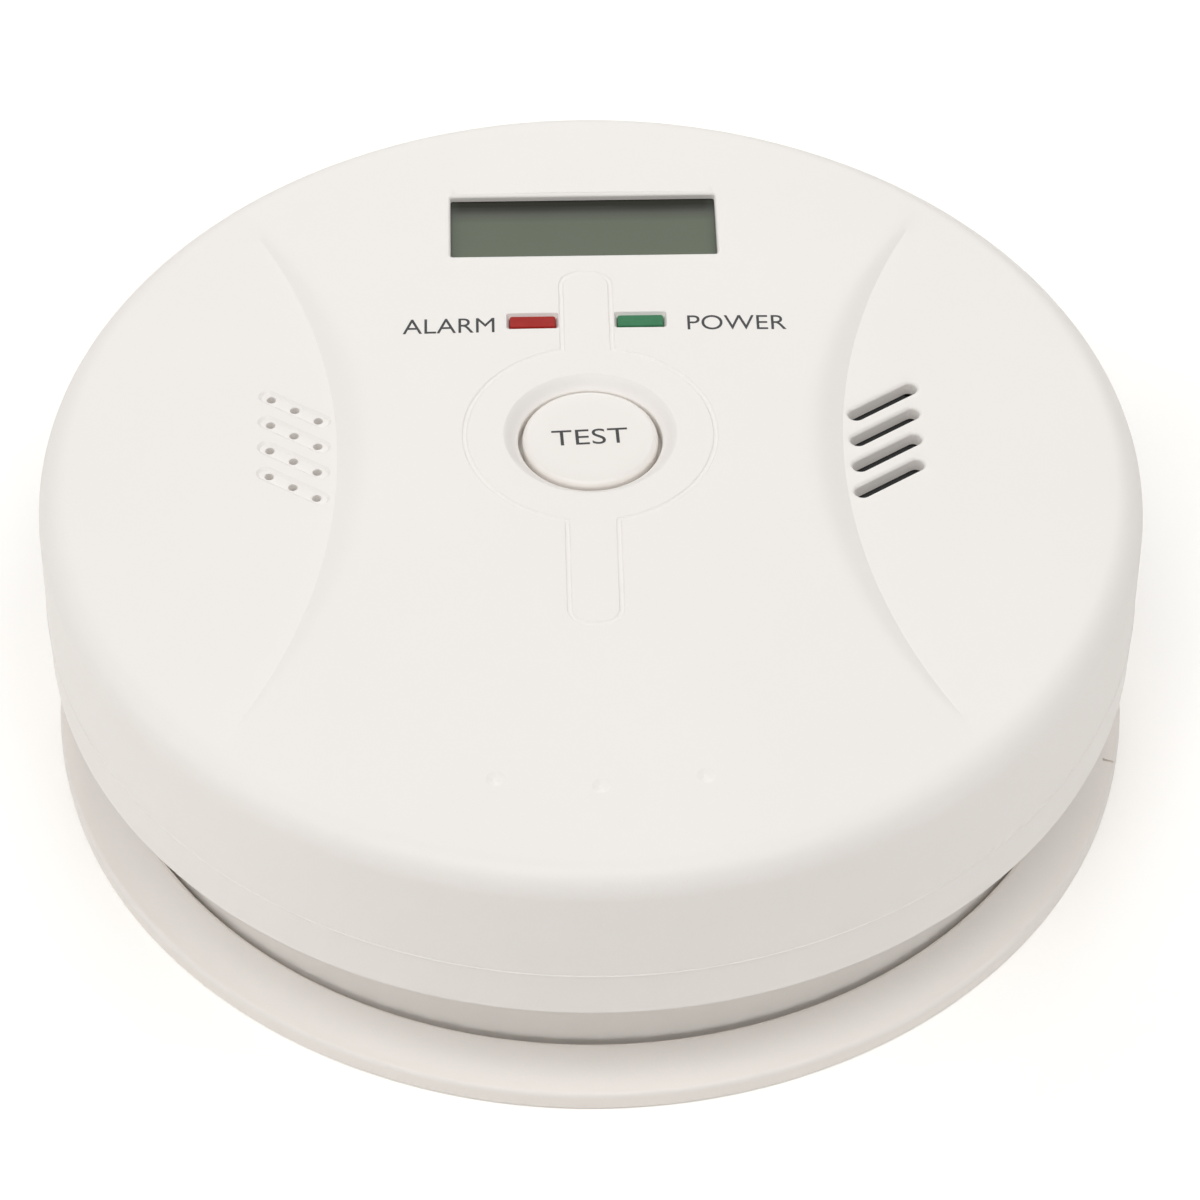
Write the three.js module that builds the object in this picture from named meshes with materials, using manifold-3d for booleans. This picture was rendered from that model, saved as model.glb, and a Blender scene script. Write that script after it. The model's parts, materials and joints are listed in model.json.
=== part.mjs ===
// A round, battery-powered carbon monoxide alarm on its twist-lock mounting plate.
//
// Units are millimetres. The origin is the centre of the plate's flat back, +Z points out of
// the alarm's face, +Y points to the display and +X to the sensor slots.
// From back to front: mounting plate, rear housing with three AA cells, circuit board with the
// display, lamps, switch, sounder and gas sensor, and the front cover with the test button.
import * as THREE from "three";
import { mergeVertices } from "three/addons/utils/BufferGeometryUtils.js";
import Module from "manifold-3d";

const wasm = await Module();
wasm.setup();

// ---------------------------------------------------------------- driving dimensions

const ROUND = 72; // segments of the large round parts
const FINE = 24; // segments of buttons, cans and cells
const SMALL = 12; // segments of screws and pins
const DOME_ROUND = 36; // segments of the face's shallow dome
const GAP = 0.3; // clearance between pieces that seat on each other

// front cover
const COVER_RADIUS = 53;
const COVER_WALL = 1.8;
const COVER_TOP = 1.5;
const EDGE_FILLET = 2.9;
const DOME_RISE = 1.2; // the middle of the face above its edge
const RIM_DRAFT = 0.15; // how much narrower the open rim is
const PARTING_HEIGHT = 5.3; // of the mould line above the rim
const COVER_LAP = 0.5; // the rim hangs this far below the housing's shoulder

// face sculpting
const FACE_CENTRE_Y = 3.5; // the button and its ring
const VENT_CENTRE_Y = 3.3; // the sensor slots and the sounder holes
const LOBE_RADIUS = 70; // arc that bounds each side lobe
const LOBE_INSET = 24.3; // from the centre line to the foot of the step
const LOBE_CENTRE_Y = 0.7;
const STEP_SLOPE = 2.7; // run of the step for each millimetre of rise
const RING_MARGIN = 4; // from the dish around the button to the engraved ring
const TAB_HALF_WIDTH = 2.5;
const TAB_TOP = 26.8;
const TAB_BOTTOM = -21.8;
const TAB_CORNER = 1.9;
const GROOVE_WIDTH = 0.6;
const GROOVE_DEPTH = 0.25;
const MARK_INSET = 8.4; // from the edge of the dome
const MARK_STEP = 13.2; // degrees between the three blank lamp marks
const MARK_RADIUS = 0.65;
const MARK_DEPTH = 0.25;

// slots over the sensor and holes over the sounder
const VENT_X = 28.5;
const VENT_PITCH = 3.55;
const VENT_ROWS = 4;
const VENT_ANGLE = 33.5; // degrees from the X axis
const SLOT_LENGTH = 7.9;
const SLOT_WIDTH = 1.5;
const SOUND_HOLES_IN_ROW = 3;
const SOUND_HOLE_PITCH = 2.75;
const SOUND_HOLE_RADIUS = 0.5;
const SOUND_RECESS = 0.25;

// test button
const BUTTON_HOLE = 6.95; // radius
const BUTTON_GAP = 0.4;
const DISH_MARGIN = 1.25; // the dish is this much wider than the hole
const DISH_DEPTH = 1.2;
const DISH_FLOOR = 1.2; // cover's wall under the bottom of the dish
const BUTTON_PROUD = 0.65; // above the bottom of the dish
const BUTTON_FILLET = 0.5;
const BUTTON_LIP = 1.1; // flange that keeps the cap in, wider than its hole
const BUTTON_LIP_THICK = 0.8;
const BUTTON_TRAVEL = 0.6;
const BUTTON_STEM = 2; // radius
const COLLAR_WALL = 1;
const COLLAR_DEPTH = 2.6;

// display and lamps
const DISPLAY_Y = 34.35;
const WINDOW_WIDTH = 26.6;
const WINDOW_HEIGHT = 9.3;
const WINDOW_LIP = 0.6; // thinnest wall around the window
const GLASS_LAP_X = 2.45; // the glass is hidden by this much at each side
const GLASS_LAP_Y = 2.15;
const GLASS_THICK = 2.4;
const FRAME_WALL = 1;
const STRIP_WIDTH = 2.2;
const LAMP_X = 5.3;
const LAMP_Y = 19.7;
const LAMP_WIDTH = 4.8;
const LAMP_HEIGHT = 1.95;
const LAMP_CLEARANCE = 0.15;
const LAMP_SUNK = 0.2;
const LAMP_LENGTH = 7;
const LAMP_HOLDER_WALL = 0.8;

// cells and their well
const CELLS = 3;
const CELL_DIAMETER = 14.2;
const CELL_LENGTH = 49.2; // can, without the nub
const CELL_NUB = 1;
const CELL_NUB_RADIUS = 2.7;
const CELL_SPACING = 0.6; // between neighbouring cans
const CELL_RECESS = 0.4; // can above the housing's open back
const WELL_WALL = 1.6;
const SPRING_LENGTH = 4.6;
const SPRING_WIRE = 0.8;
const SPRING_TURNS = 3;
const SPRING_FOOT = 4.6; // radius of the coil at the plate
const SPRING_TIP = 2.6;
const CONTACT_THICK = 0.4;
const CONTACT_WIDTH = 11;
const CONTACT_HEIGHT = 10;
const CONTACT_BUTTON = 0.6;
const TAG_WIDTH = 2;
const TAG_HEIGHT = 0.9; // solder tag above the well's roof
const LEAD_RADIUS = 0.55;

// circuit board and what stands on it
const SOLDER_ROOM = 2; // between the well's roof and the board
const BOARD_THICK = 1.6;
const BOARD_MARGIN = 5.7; // from the cover's inner wall
const COMPONENT_ROOM = 8.1; // between the board and the cover
const SWITCH_SIDE = 6;
const SWITCH_HEIGHT = 3.4;
const PLUNGER_RADIUS = 1.7;
const PLUNGER_PROUD = 0.9; // more than the travel
const PLUNGER_INSIDE = 1;
const PLUNGER_CLEARANCE = 0.2;
const SOUNDER_RADIUS = 12;
const SOUNDER_HEIGHT = 5.6;
const SOUNDER_WALL = 1;
const SOUNDER_PORT = 2.2;
const DIAPHRAGM_THICK = 0.3;
const PIEZO_RADIUS = 7;
const PIEZO_THICK = 0.25;
const SENSOR_RADIUS = 9;
const SENSOR_HEIGHT = 5.2;
const SENSOR_STEP = 0.8;
const INLET_RADIUS = 2;
const GASKET_WIDTH = 2.4;
const BAFFLE_WALL = 1; // rings in the cover around sounder and sensor
const BAFFLE_DEPTH = 2.4;

// rear housing
const NECK_OVERHANG = 5; // cover radius less neck radius
const NECK_WALL = 1.8;
const NECK_HEIGHT = 11.6; // from the housing's back to the cover's rim
const HOUSING_FLOOR = 1.8;
const SHOULDER_THICK = 1.6;
const SHOULDER_GAP = 0.3;

// screws
const SCREW_COUNT = 4;
const SCREW_INSET = 5; // from the neck's outer wall to the screw axis
const SCREW_RADIUS = 1.2;
const SCREW_LENGTH = 10;
const SCREW_HEAD_RADIUS = 2.4;
const SCREW_HEAD = 1.6;
const SCREW_SEAT = 3; // wall between head and cover boss
const SCREW_TUBE_WALL = 1;
const SCREW_BOSS = 3;
const THREAD_GAP = 0.15;
const BOARD_SCREW_RADIUS = 0.95;
const BOARD_SCREW_LENGTH = 6;
const BOARD_SCREW_HEAD_RADIUS = 1.9;
const BOARD_SCREW_HEAD = 1.2;
const BOARD_BOSS = 2.6;
const BOARD_SCREW_X = 33; // of the two screws away from the display
const BOARD_SCREW_Y = -20;
const BOARD_SCREW_SIDE = 0.8; // from the display's frame to the bosses beside it

// mounting plate and its bayonet
const PLATE_FLOOR = 2;
const PLATE_INSET = 0.2; // the plate is this much smaller than the cover
const PLATE_LIP = 2.1; // height of the outer edge
const PLATE_CROWN = 4.35; // height where the plate meets the neck
const PLATE_SHELL = 1.5;
const NECK_GAP = 0.35;
const TWIST_GAP = 0.4; // between the plate's floor and the housing
const TWIST_ANGLE = 15; // degrees from locked to free
const HOOKS = 4;
const HOOK_INSET = 7.6; // from the neck's outer wall to the post's inner face
const HOOK_POST = 1.6;
const HOOK_LIP = 2.5;
const HOOK_THICK = 1.5;
const HOOK_HALF_ANGLE = 4;
const HOOK_SIDE = 0.8; // degrees of play at each end of a slot
const KEYHOLE_X = 30;
const KEYHOLE_HEAD = 4.3;
const KEYHOLE_NECK = 2.15;
const KEYHOLE_RUN = 9;
const INDEX_ANGLE = -13; // degrees, notch in the plate's edge
const INDEX_WIDTH = 0.5;
const INDEX_DEPTH = 1.1;

// ---------------------------------------------------------------- derived sizes

const housingZ = PLATE_FLOOR + TWIST_GAP;
const housingFloorZ = housingZ + HOUSING_FLOOR;
const rimZ = housingZ + NECK_HEIGHT;
const shoulderZ = rimZ + COVER_LAP;
const shoulderTopZ = shoulderZ + SHOULDER_THICK;
const cellAxisZ = housingZ + CELL_RECESS + CELL_DIAMETER / 2;
const wellRoofZ = cellAxisZ + CELL_DIAMETER / 2 + CELL_RECESS;
const wellTopZ = wellRoofZ + WELL_WALL;
const boardZ = wellTopZ + SOLDER_ROOM;
const boardTopZ = boardZ + BOARD_THICK;
const edgeZ = boardTopZ + COMPONENT_ROOM + COVER_TOP;
const lobeUndersideZ = edgeZ - COVER_TOP;

const coverInside = COVER_RADIUS - COVER_WALL;
const domeRadius = COVER_RADIUS - EDGE_FILLET;
const neckRadius = COVER_RADIUS - NECK_OVERHANG;
const neckInside = neckRadius - NECK_WALL;
const screwCircle = neckRadius - SCREW_INSET;
const boardRadius = coverInside - BOARD_MARGIN;
const plateRadius = COVER_RADIUS - PLATE_INSET;
const markCircle = domeRadius - MARK_INSET;
const dishRadius = BUTTON_HOLE + DISH_MARGIN;
const ringRadius = dishRadius + RING_MARGIN;

const glassWidth = WINDOW_WIDTH + 2 * GLASS_LAP_X;
const glassHeight = WINDOW_HEIGHT + 2 * GLASS_LAP_Y;
const frameWidth = glassWidth + 2 * (GAP + FRAME_WALL);
const frameHeight = glassHeight + 2 * (GAP + FRAME_WALL);
const upperScrewX = frameWidth / 2 + BOARD_SCREW_SIDE + BOARD_BOSS;
const boardScrewPlaces = [
  [-upperScrewX, DISPLAY_Y],
  [upperScrewX, DISPLAY_Y],
  [-BOARD_SCREW_X, BOARD_SCREW_Y],
  [BOARD_SCREW_X, BOARD_SCREW_Y],
];

const cellPitch = CELL_DIAMETER + CELL_SPACING;
const cellRowHalf = ((CELLS - 1) * cellPitch + CELL_DIAMETER) / 2;
const wellHalfWidth = cellRowHalf + CELL_SPACING;
const contactStack = CONTACT_THICK + GAP;
const wellHalfLength =
  (CELL_LENGTH + CELL_NUB + GAP + CONTACT_BUTTON + SPRING_LENGTH + GAP + 2 * contactStack) / 2;

const radians = THREE.MathUtils.degToRad;

// Height of the smooth domed face at a distance from the centre, before anything is cut in it.
const domeZ = (r) => edgeZ + DOME_RISE * (1 - (r / domeRadius) ** 2);

const buttonFaceZ = domeZ(FACE_CENTRE_Y);
const buttonHoleZ = buttonFaceZ - DISH_DEPTH;
const buttonTopZ = buttonHoleZ + BUTTON_PROUD;
const buttonUndersideZ = buttonHoleZ - DISH_FLOOR;

// ---------------------------------------------------------------- shape helpers

// A closed three.js geometry as a solid that can be joined and cut.
function solid(geometry) {
  const plain = geometry.index ? geometry.toNonIndexed() : geometry.clone();
  plain.deleteAttribute("normal");
  plain.deleteAttribute("uv");
  const merged = mergeVertices(plain, 1e-4);
  return new wasm.Manifold(
    new wasm.Mesh({
      numProp: 3,
      vertProperties: merged.getAttribute("position").array,
      triVerts: new Uint32Array(merged.index.array),
    }),
  );
}

// A profile of [radius, height] points turned about Z. It runs anticlockwise, up the outside.
function turned(profile, segments = ROUND, x = 0, y = 0) {
  const points = profile.map(([r, z]) => new THREE.Vector2(r, z));
  const lathe = new THREE.LatheGeometry(points, segments);
  return solid(lathe.rotateX(Math.PI / 2).translate(x, y, 0));
}

function cylinder(radius, z0, z1, x = 0, y = 0, segments = FINE) {
  const profile = [
    [0, z0],
    [radius, z0],
    [radius, z1],
    [0, z1],
  ];
  return turned(profile, segments, x, y);
}

function ring(inner, outer, z0, z1, x = 0, y = 0, segments = FINE) {
  const profile = [
    [inner, z0],
    [outer, z0],
    [outer, z1],
    [inner, z1],
    [inner, z0],
  ];
  return turned(profile, segments, x, y);
}

function block(width, length, z0, z1, x = 0, y = 0) {
  const box = new THREE.BoxGeometry(width, length, z1 - z0);
  return solid(box.translate(x, y, (z0 + z1) / 2));
}

function prism(shape, z0, z1, curveSegments = 4) {
  const options = { depth: z1 - z0, bevelEnabled: false, curveSegments };
  return solid(new THREE.ExtrudeGeometry(shape, options).translate(0, 0, z0));
}

// A slot with round ends, centred on x, y and turned from the X axis.
function slot(length, width, degrees, z0, z1, x, y) {
  const straight = (length - width) / 2;
  const shape = new THREE.Shape();
  shape.absarc(straight, 0, width / 2, -Math.PI / 2, Math.PI / 2);
  shape.absarc(-straight, 0, width / 2, Math.PI / 2, (3 * Math.PI) / 2);
  shape.closePath();
  const options = { depth: z1 - z0, bevelEnabled: false, curveSegments: 3 };
  const geometry = new THREE.ExtrudeGeometry(shape, options);
  return solid(geometry.rotateZ(radians(degrees)).translate(x, y, z0));
}

// Part of a ring between two angles in degrees.
function sector(inner, outer, from, to, z0, z1) {
  const shape = new THREE.Shape();
  shape.absarc(0, 0, outer, radians(from), radians(to));
  shape.absarc(0, 0, inner, radians(to), radians(from), true);
  shape.closePath();
  return prism(shape, z0, z1);
}

// A round wire along a curve.
function wire(curve, radius, steps, sides = 8) {
  const section = new THREE.Shape();
  section.absarc(0, 0, radius, 0, 2 * Math.PI);
  const options = {
    steps,
    extrudePath: curve,
    bevelEnabled: false,
    curveSegments: sides,
  };
  return solid(new THREE.ExtrudeGeometry(section, options));
}

const join = (...solids) => solids.reduce((a, b) => a.add(b));
const cut = (body, ...tools) => tools.reduce((a, b) => a.subtract(b), body);

// ---------------------------------------------------------------- materials

const plastic = (color, roughness = 0.55) =>
  new THREE.MeshStandardMaterial({ color, roughness, metalness: 0 });
const metal = (color, roughness = 0.35) =>
  new THREE.MeshStandardMaterial({ color, roughness, metalness: 1 });

const shellWhite = plastic(0xefece7);
const plateWhite = plastic(0xe9e3df);
const buttonWhite = plastic(0xecebe6, 0.5);
const displayGreen = plastic(0x6c7363, 0.2);
const frameBlack = plastic(0x222222);
const stripPink = plastic(0xd9a7a0, 0.8);
const lampRed = plastic(0xa8242a, 0.3);
const lampGreen = plastic(0x2f8a58, 0.3);
const holderBlack = plastic(0x2a2a2a);
const boardGreen = plastic(0x1f6b3c, 0.45);
const switchBlack = plastic(0x1c1c1c);
const chipBlack = plastic(0x161616, 0.5);
const sleeveBlue = plastic(0x22386b, 0.4);
const foamGrey = plastic(0x4b4b4b, 0.95);
const ceramicWhite = plastic(0xe6e0d2, 0.6);
const cellGrey = plastic(0x3c4650, 0.35);
const nickel = metal(0xc4c2bd);
const brass = metal(0xc9a35a);
const screwSteel = metal(0x9a9a9a);
const copper = metal(0xb06a3a, 0.4);
const leadRed = plastic(0xb5241f, 0.5);
const leadBlack = plastic(0x1a1a1a, 0.5);
const membraneWhite = plastic(0xf3f3f0, 0.8);

const detector = new THREE.Group();

function place(group, name, body, material) {
  const mesh = body.getMesh();
  const geometry = new THREE.BufferGeometry();
  geometry.setAttribute("position", new THREE.BufferAttribute(mesh.vertProperties, 3));
  geometry.setIndex(new THREE.BufferAttribute(mesh.triVerts, 1));
  geometry.computeVertexNormals();
  const node = new THREE.Mesh(geometry, material);
  node.name = name;
  group.add(node);
}

// ---------------------------------------------------------------- mounting plate

function keyhole(side) {
  const x = side * KEYHOLE_X;
  const head = cylinder(KEYHOLE_HEAD, -1, PLATE_FLOOR + 1, x, -KEYHOLE_RUN / 2, SMALL);
  const length = KEYHOLE_RUN + KEYHOLE_NECK;
  const neckY = KEYHOLE_NECK / 2;
  return head.add(slot(length, 2 * KEYHOLE_NECK, 90, -1, PLATE_FLOOR + 1, x, neckY));
}

function hook(angle) {
  const inner = neckRadius - HOOK_INSET;
  const outer = inner + HOOK_POST;
  const lipZ = housingFloorZ + GAP;
  const from = angle - HOOK_HALF_ANGLE;
  const to = angle + HOOK_HALF_ANGLE;
  const post = sector(inner, outer, from, to, PLATE_FLOOR - 0.5, lipZ + HOOK_THICK);
  const lip = sector(inner, outer + HOOK_LIP, from, to, lipZ, lipZ + HOOK_THICK);
  return post.add(lip);
}

const hookAngles = Array.from({ length: HOOKS }, (_, i) => (360 / HOOKS) * i);

function mountingPlate() {
  const well = neckRadius + NECK_GAP;
  const edge = 0.5; // rounding of the plate's outer edge
  const profile = [
    [0, 0],
    [well + PLATE_SHELL - 0.6, 0],
    [well + PLATE_SHELL - 0.6, PLATE_LIP - 0.5],
    [plateRadius - PLATE_SHELL, PLATE_LIP - PLATE_SHELL + 0.4],
    [plateRadius - PLATE_SHELL, 0],
    [plateRadius - 0.1, 0],
    [plateRadius, PLATE_LIP - edge],
    [plateRadius - edge * 0.4, PLATE_LIP],
    [plateRadius - edge * 1.6, PLATE_LIP + edge * 0.6],
    [well + 0.5, PLATE_CROWN],
    [well, PLATE_CROWN - 0.2],
    [well, PLATE_FLOOR],
    [0, PLATE_FLOOR],
  ];
  const notch = block(INDEX_DEPTH * 2, INDEX_WIDTH, 1, PLATE_LIP + 2, plateRadius, 0);
  const turnedNotch = notch.rotate([0, 0, INDEX_ANGLE]);
  const body = join(turned(profile), ...hookAngles.map(hook));
  return cut(body, keyhole(-1), keyhole(1), turnedNotch);
}

place(detector, "mounting_plate", mountingPlate(), plateWhite);

// ---------------------------------------------------------------- rear housing

const screwAngles = Array.from({ length: SCREW_COUNT }, (_, i) => (360 / SCREW_COUNT) * (i + 0.5));
const screwPlaces = screwAngles.map((a) => [
  screwCircle * Math.cos(radians(a)),
  screwCircle * Math.sin(radians(a)),
]);
const screwSeatZ = shoulderTopZ - SCREW_SEAT;

// Arc slot for one hook: narrow where it locks, wide where the lip can pass.
function hookSlot(angle) {
  const inner = neckRadius - HOOK_INSET - GAP;
  const narrow = inner + HOOK_POST + 2 * GAP;
  const wide = narrow + HOOK_LIP;
  const half = HOOK_HALF_ANGLE + HOOK_SIDE;
  const z0 = housingZ - 1;
  const z1 = housingFloorZ + 1;
  const run = sector(inner, narrow, angle - TWIST_ANGLE - half, angle + half, z0, z1);
  const mouth = sector(
    inner,
    wide,
    angle - TWIST_ANGLE - half,
    angle - TWIST_ANGLE + half,
    z0,
    z1,
  );
  return run.add(mouth);
}

function rearHousing() {
  const shoulder = coverInside - SHOULDER_GAP;
  const cup = turned([
    [0, housingZ],
    [neckRadius, housingZ],
    [neckRadius, shoulderZ],
    [shoulder, shoulderZ],
    [shoulder, shoulderTopZ],
    [neckInside, shoulderTopZ],
    [neckInside, housingFloorZ],
    [0, housingFloorZ],
  ]);
  const well = block(
    2 * (wellHalfWidth + WELL_WALL),
    2 * (wellHalfLength + WELL_WALL),
    housingZ,
    wellTopZ,
  );
  const space = block(2 * wellHalfWidth, 2 * wellHalfLength, housingZ - 1, wellRoofZ);
  const tubes = screwPlaces.map(([x, y]) =>
    cylinder(SCREW_HEAD_RADIUS + GAP + SCREW_TUBE_WALL, housingZ, shoulderTopZ, x, y, FINE),
  );
  const counterbores = screwPlaces.map(([x, y]) =>
    cylinder(SCREW_HEAD_RADIUS + GAP, housingZ - 1, screwSeatZ, x, y, SMALL),
  );
  const holes = screwPlaces.map(([x, y]) =>
    cylinder(SCREW_RADIUS + GAP, housingZ, shoulderTopZ + 1, x, y, SMALL),
  );
  const bossRoom = screwPlaces.map(([x, y]) =>
    cylinder(SCREW_BOSS + GAP, shoulderTopZ, wellTopZ + 1, x, y, SMALL),
  );
  const shell = cut(
    join(cup, well, ...tubes),
    space,
    ...counterbores,
    ...holes,
    ...bossRoom,
    ...hookAngles.map(hookSlot),
  );
  return cut(join(shell, ...cellRibs()), ...tagSlots());
}

// Low ribs under the well's roof, between neighbouring cells.
function cellRibs() {
  const depth = CELL_DIAMETER * 0.21;
  const places = Array.from({ length: CELLS - 1 }, (_, i) => (i - (CELLS - 2) / 2) * cellPitch);
  return places.map((x) =>
    block(2 * CELL_SPACING, CELL_LENGTH * 0.7, wellRoofZ - depth, wellRoofZ + 0.5, x, 0),
  );
}

// ---------------------------------------------------------------- cells and contacts

const cellX = (i) => (i - (CELLS - 1) / 2) * cellPitch;
const cellEnd = (i) => (i % 2 === 0 ? 1 : -1); // which way the nub points, +1 to +Y
const contactFaceY = wellHalfLength - contactStack; // inner face of a contact plate

// A body of revolution about Z turned to lie along Y, pointing to the given end.
function alongY(profile, end, x, y, segments = FINE) {
  const points = profile.map(([r, z]) => new THREE.Vector2(r, z));
  const lathe = new THREE.LatheGeometry(points, segments);
  if (end < 0) lathe.rotateX(Math.PI);
  return solid(lathe.translate(x, y, cellAxisZ));
}

function cell(i) {
  const end = cellEnd(i);
  const r = CELL_DIAMETER / 2;
  const profile = [
    [0, 0],
    [r - 0.9, 0],
    [r, 0.6],
    [r, CELL_LENGTH - 0.8],
    [r - 0.8, CELL_LENGTH],
    [CELL_NUB_RADIUS, CELL_LENGTH],
    [CELL_NUB_RADIUS, CELL_LENGTH + CELL_NUB],
    [0, CELL_LENGTH + CELL_NUB],
  ];
  const nubFace = contactFaceY - CONTACT_BUTTON - GAP;
  const foot = end * (nubFace - CELL_LENGTH - CELL_NUB);
  return alongY(profile, end, cellX(i), foot);
}

class SpringCurve extends THREE.Curve {
  constructor(x, y, inward) {
    super();
    this.start = new THREE.Vector3(x, y, cellAxisZ);
    this.inward = inward;
  }

  getPoint(t, target = new THREE.Vector3()) {
    const turn = 2 * Math.PI * SPRING_TURNS * t;
    const radius = SPRING_FOOT + (SPRING_TIP - SPRING_FOOT) * t;
    const reach = SPRING_LENGTH - SPRING_WIRE;
    return target.set(
      this.start.x + radius * Math.cos(turn),
      this.start.y + this.inward * reach * t,
      this.start.z + radius * Math.sin(turn),
    );
  }
}

// A stamped plate across one or two cells, with a spring for each flat cell end and a raised
// button for each nub. A plate at the end of the chain also has a solder tag through the roof.
function contact(end, first, last, tagged) {
  const x0 = cellX(first) - CONTACT_WIDTH / 2;
  const x1 = cellX(last) + CONTACT_WIDTH / 2;
  const backY = end * (contactFaceY + CONTACT_THICK / 2);
  const z0 = cellAxisZ - CONTACT_HEIGHT / 2;
  const z1 = cellAxisZ + CONTACT_HEIGHT / 2;
  const pieces = [block(x1 - x0, CONTACT_THICK, z0, z1, (x0 + x1) / 2, backY)];
  for (let i = first; i <= last; i++) {
    if (cellEnd(i) === end) {
      const button = [
        [0, -0.1],
        [CELL_NUB_RADIUS, -0.1],
        [CELL_NUB_RADIUS - 0.6, CONTACT_BUTTON],
        [0, CONTACT_BUTTON],
      ];
      pieces.push(alongY(button, -end, cellX(i), end * contactFaceY, SMALL));
    } else {
      const rootY = end * (contactFaceY - SPRING_WIRE / 2 + 0.15);
      const curve = new SpringCurve(cellX(i), rootY, -end);
      pieces.push(wire(curve, SPRING_WIRE / 2, SPRING_TURNS * 10, 3));
    }
  }
  if (tagged) {
    const tagTop = wellTopZ + TAG_HEIGHT;
    pieces.push(block(TAG_WIDTH, CONTACT_THICK, z1 - 0.5, tagTop, cellX(first), backY));
  }
  return join(...pieces);
}

// The two end plates' tags come out through slots in the roof.
const tagPlaces = [
  [cellX(CELLS - 1), cellEnd(CELLS - 1)],
  [cellX(0), -cellEnd(0)],
];

function tagSlots() {
  return tagPlaces.map(([x, end]) => {
    const width = TAG_WIDTH + 2 * GAP;
    const y = end * (contactFaceY + CONTACT_THICK / 2);
    return block(width, CONTACT_THICK + 2 * GAP, wellRoofZ - 1, wellTopZ + 1, x, y);
  });
}

// An insulated lead from a tag to the underside of the board.
function lead(x, end) {
  const z = (wellTopZ + boardZ) / 2;
  const y = end * (contactFaceY + CONTACT_THICK / 2);
  const away = x > 0 ? -1 : 1;
  const start = x + away * (TAG_WIDTH / 2 + GAP);
  const route = new THREE.CatmullRomCurve3([
    new THREE.Vector3(start, y, z),
    new THREE.Vector3(start + away * 4, y - end, z),
    new THREE.Vector3(start + away * 8, y - end * 4, z),
    new THREE.Vector3(start + away * 10, y - end * 10, z),
  ]);
  return wire(route, LEAD_RADIUS, 10, 3);
}

place(detector, "rear_housing", rearHousing(), shellWhite);
for (let i = 0; i < CELLS; i++) {
  place(detector, `battery_cell_${i + 1}`, cell(i), cellGrey);
}
place(detector, "positive_contact", contact(1, CELLS - 1, CELLS - 1, true), nickel);
place(detector, "negative_contact", contact(-1, 0, 0, true), nickel);
place(detector, "link_contact_upper", contact(1, 0, 1, false), nickel);
place(detector, "link_contact_lower", contact(-1, 1, 2, false), nickel);
place(detector, "battery_lead_red", lead(...tagPlaces[0]), leadRed);
place(detector, "battery_lead_black", lead(...tagPlaces[1]), leadBlack);

// ---------------------------------------------------------------- screws

// A pan-head screw standing on its head at z, its tip pointing up into the cover.
function screw(x, y, z, radius, length, headRadius, head) {
  const profile = [
    [0, z],
    [headRadius * 0.75, z],
    [headRadius, z + head * 0.45],
    [headRadius, z + head],
    [radius, z + head],
    [radius, z + head + length - radius],
    [radius * 0.3, z + head + length],
    [0, z + head + length],
  ];
  const recess = head * 0.55;
  const bar = headRadius * 1.1;
  const arm = headRadius * 0.28;
  return cut(
    turned(profile, SMALL, x, y),
    block(bar, arm, z - 0.5, z + recess, x, y),
    block(arm, bar, z - 0.5, z + recess, x, y),
  );
}

screwPlaces.forEach(([x, y], i) => {
  const z = screwSeatZ - SCREW_HEAD - 0.05;
  const body = screw(x, y, z, SCREW_RADIUS, SCREW_LENGTH, SCREW_HEAD_RADIUS, SCREW_HEAD);
  place(detector, `housing_screw_${i + 1}`, body, screwSteel);
});

boardScrewPlaces.forEach(([x, y], i) => {
  const z = boardZ - BOARD_SCREW_HEAD - 0.05;
  const body = screw(
    x,
    y,
    z,
    BOARD_SCREW_RADIUS,
    BOARD_SCREW_LENGTH,
    BOARD_SCREW_HEAD_RADIUS,
    BOARD_SCREW_HEAD,
  );
  place(detector, `board_screw_${i + 1}`, body, screwSteel);
});

// ---------------------------------------------------------------- circuit board

const SOUNDER = [-VENT_X, VENT_CENTRE_Y];
const SENSOR = [VENT_X, VENT_CENTRE_Y];

function board() {
  const notches = screwPlaces.map(([x, y]) =>
    cylinder(SCREW_BOSS + 2 * GAP, boardZ - 1, boardTopZ + 1, x, y, FINE),
  );
  const holes = boardScrewPlaces.map(([x, y]) =>
    cylinder(BOARD_SCREW_RADIUS + GAP, boardZ - 1, boardTopZ + 1, x, y, SMALL),
  );
  return cut(cylinder(boardRadius, boardZ, boardTopZ, 0, 0, ROUND), ...notches, ...holes);
}

const seatZ = boardTopZ + 0.05; // parts stand a hair off the board

function switchBody() {
  const z1 = seatZ + SWITCH_HEIGHT;
  const shell = block(SWITCH_SIDE, SWITCH_SIDE, seatZ, z1, 0, FACE_CENTRE_Y);
  const bottom = z1 - PLUNGER_INSIDE - BUTTON_TRAVEL - GAP;
  const bore = PLUNGER_RADIUS + PLUNGER_CLEARANCE;
  return shell.subtract(cylinder(bore, bottom, z1 + 1, 0, FACE_CENTRE_Y, SMALL));
}

const plungerTopZ = seatZ + SWITCH_HEIGHT + PLUNGER_PROUD;

function plunger() {
  const bottom = seatZ + SWITCH_HEIGHT - PLUNGER_INSIDE;
  return cylinder(PLUNGER_RADIUS, bottom, plungerTopZ, 0, FACE_CENTRE_Y, SMALL);
}

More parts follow.
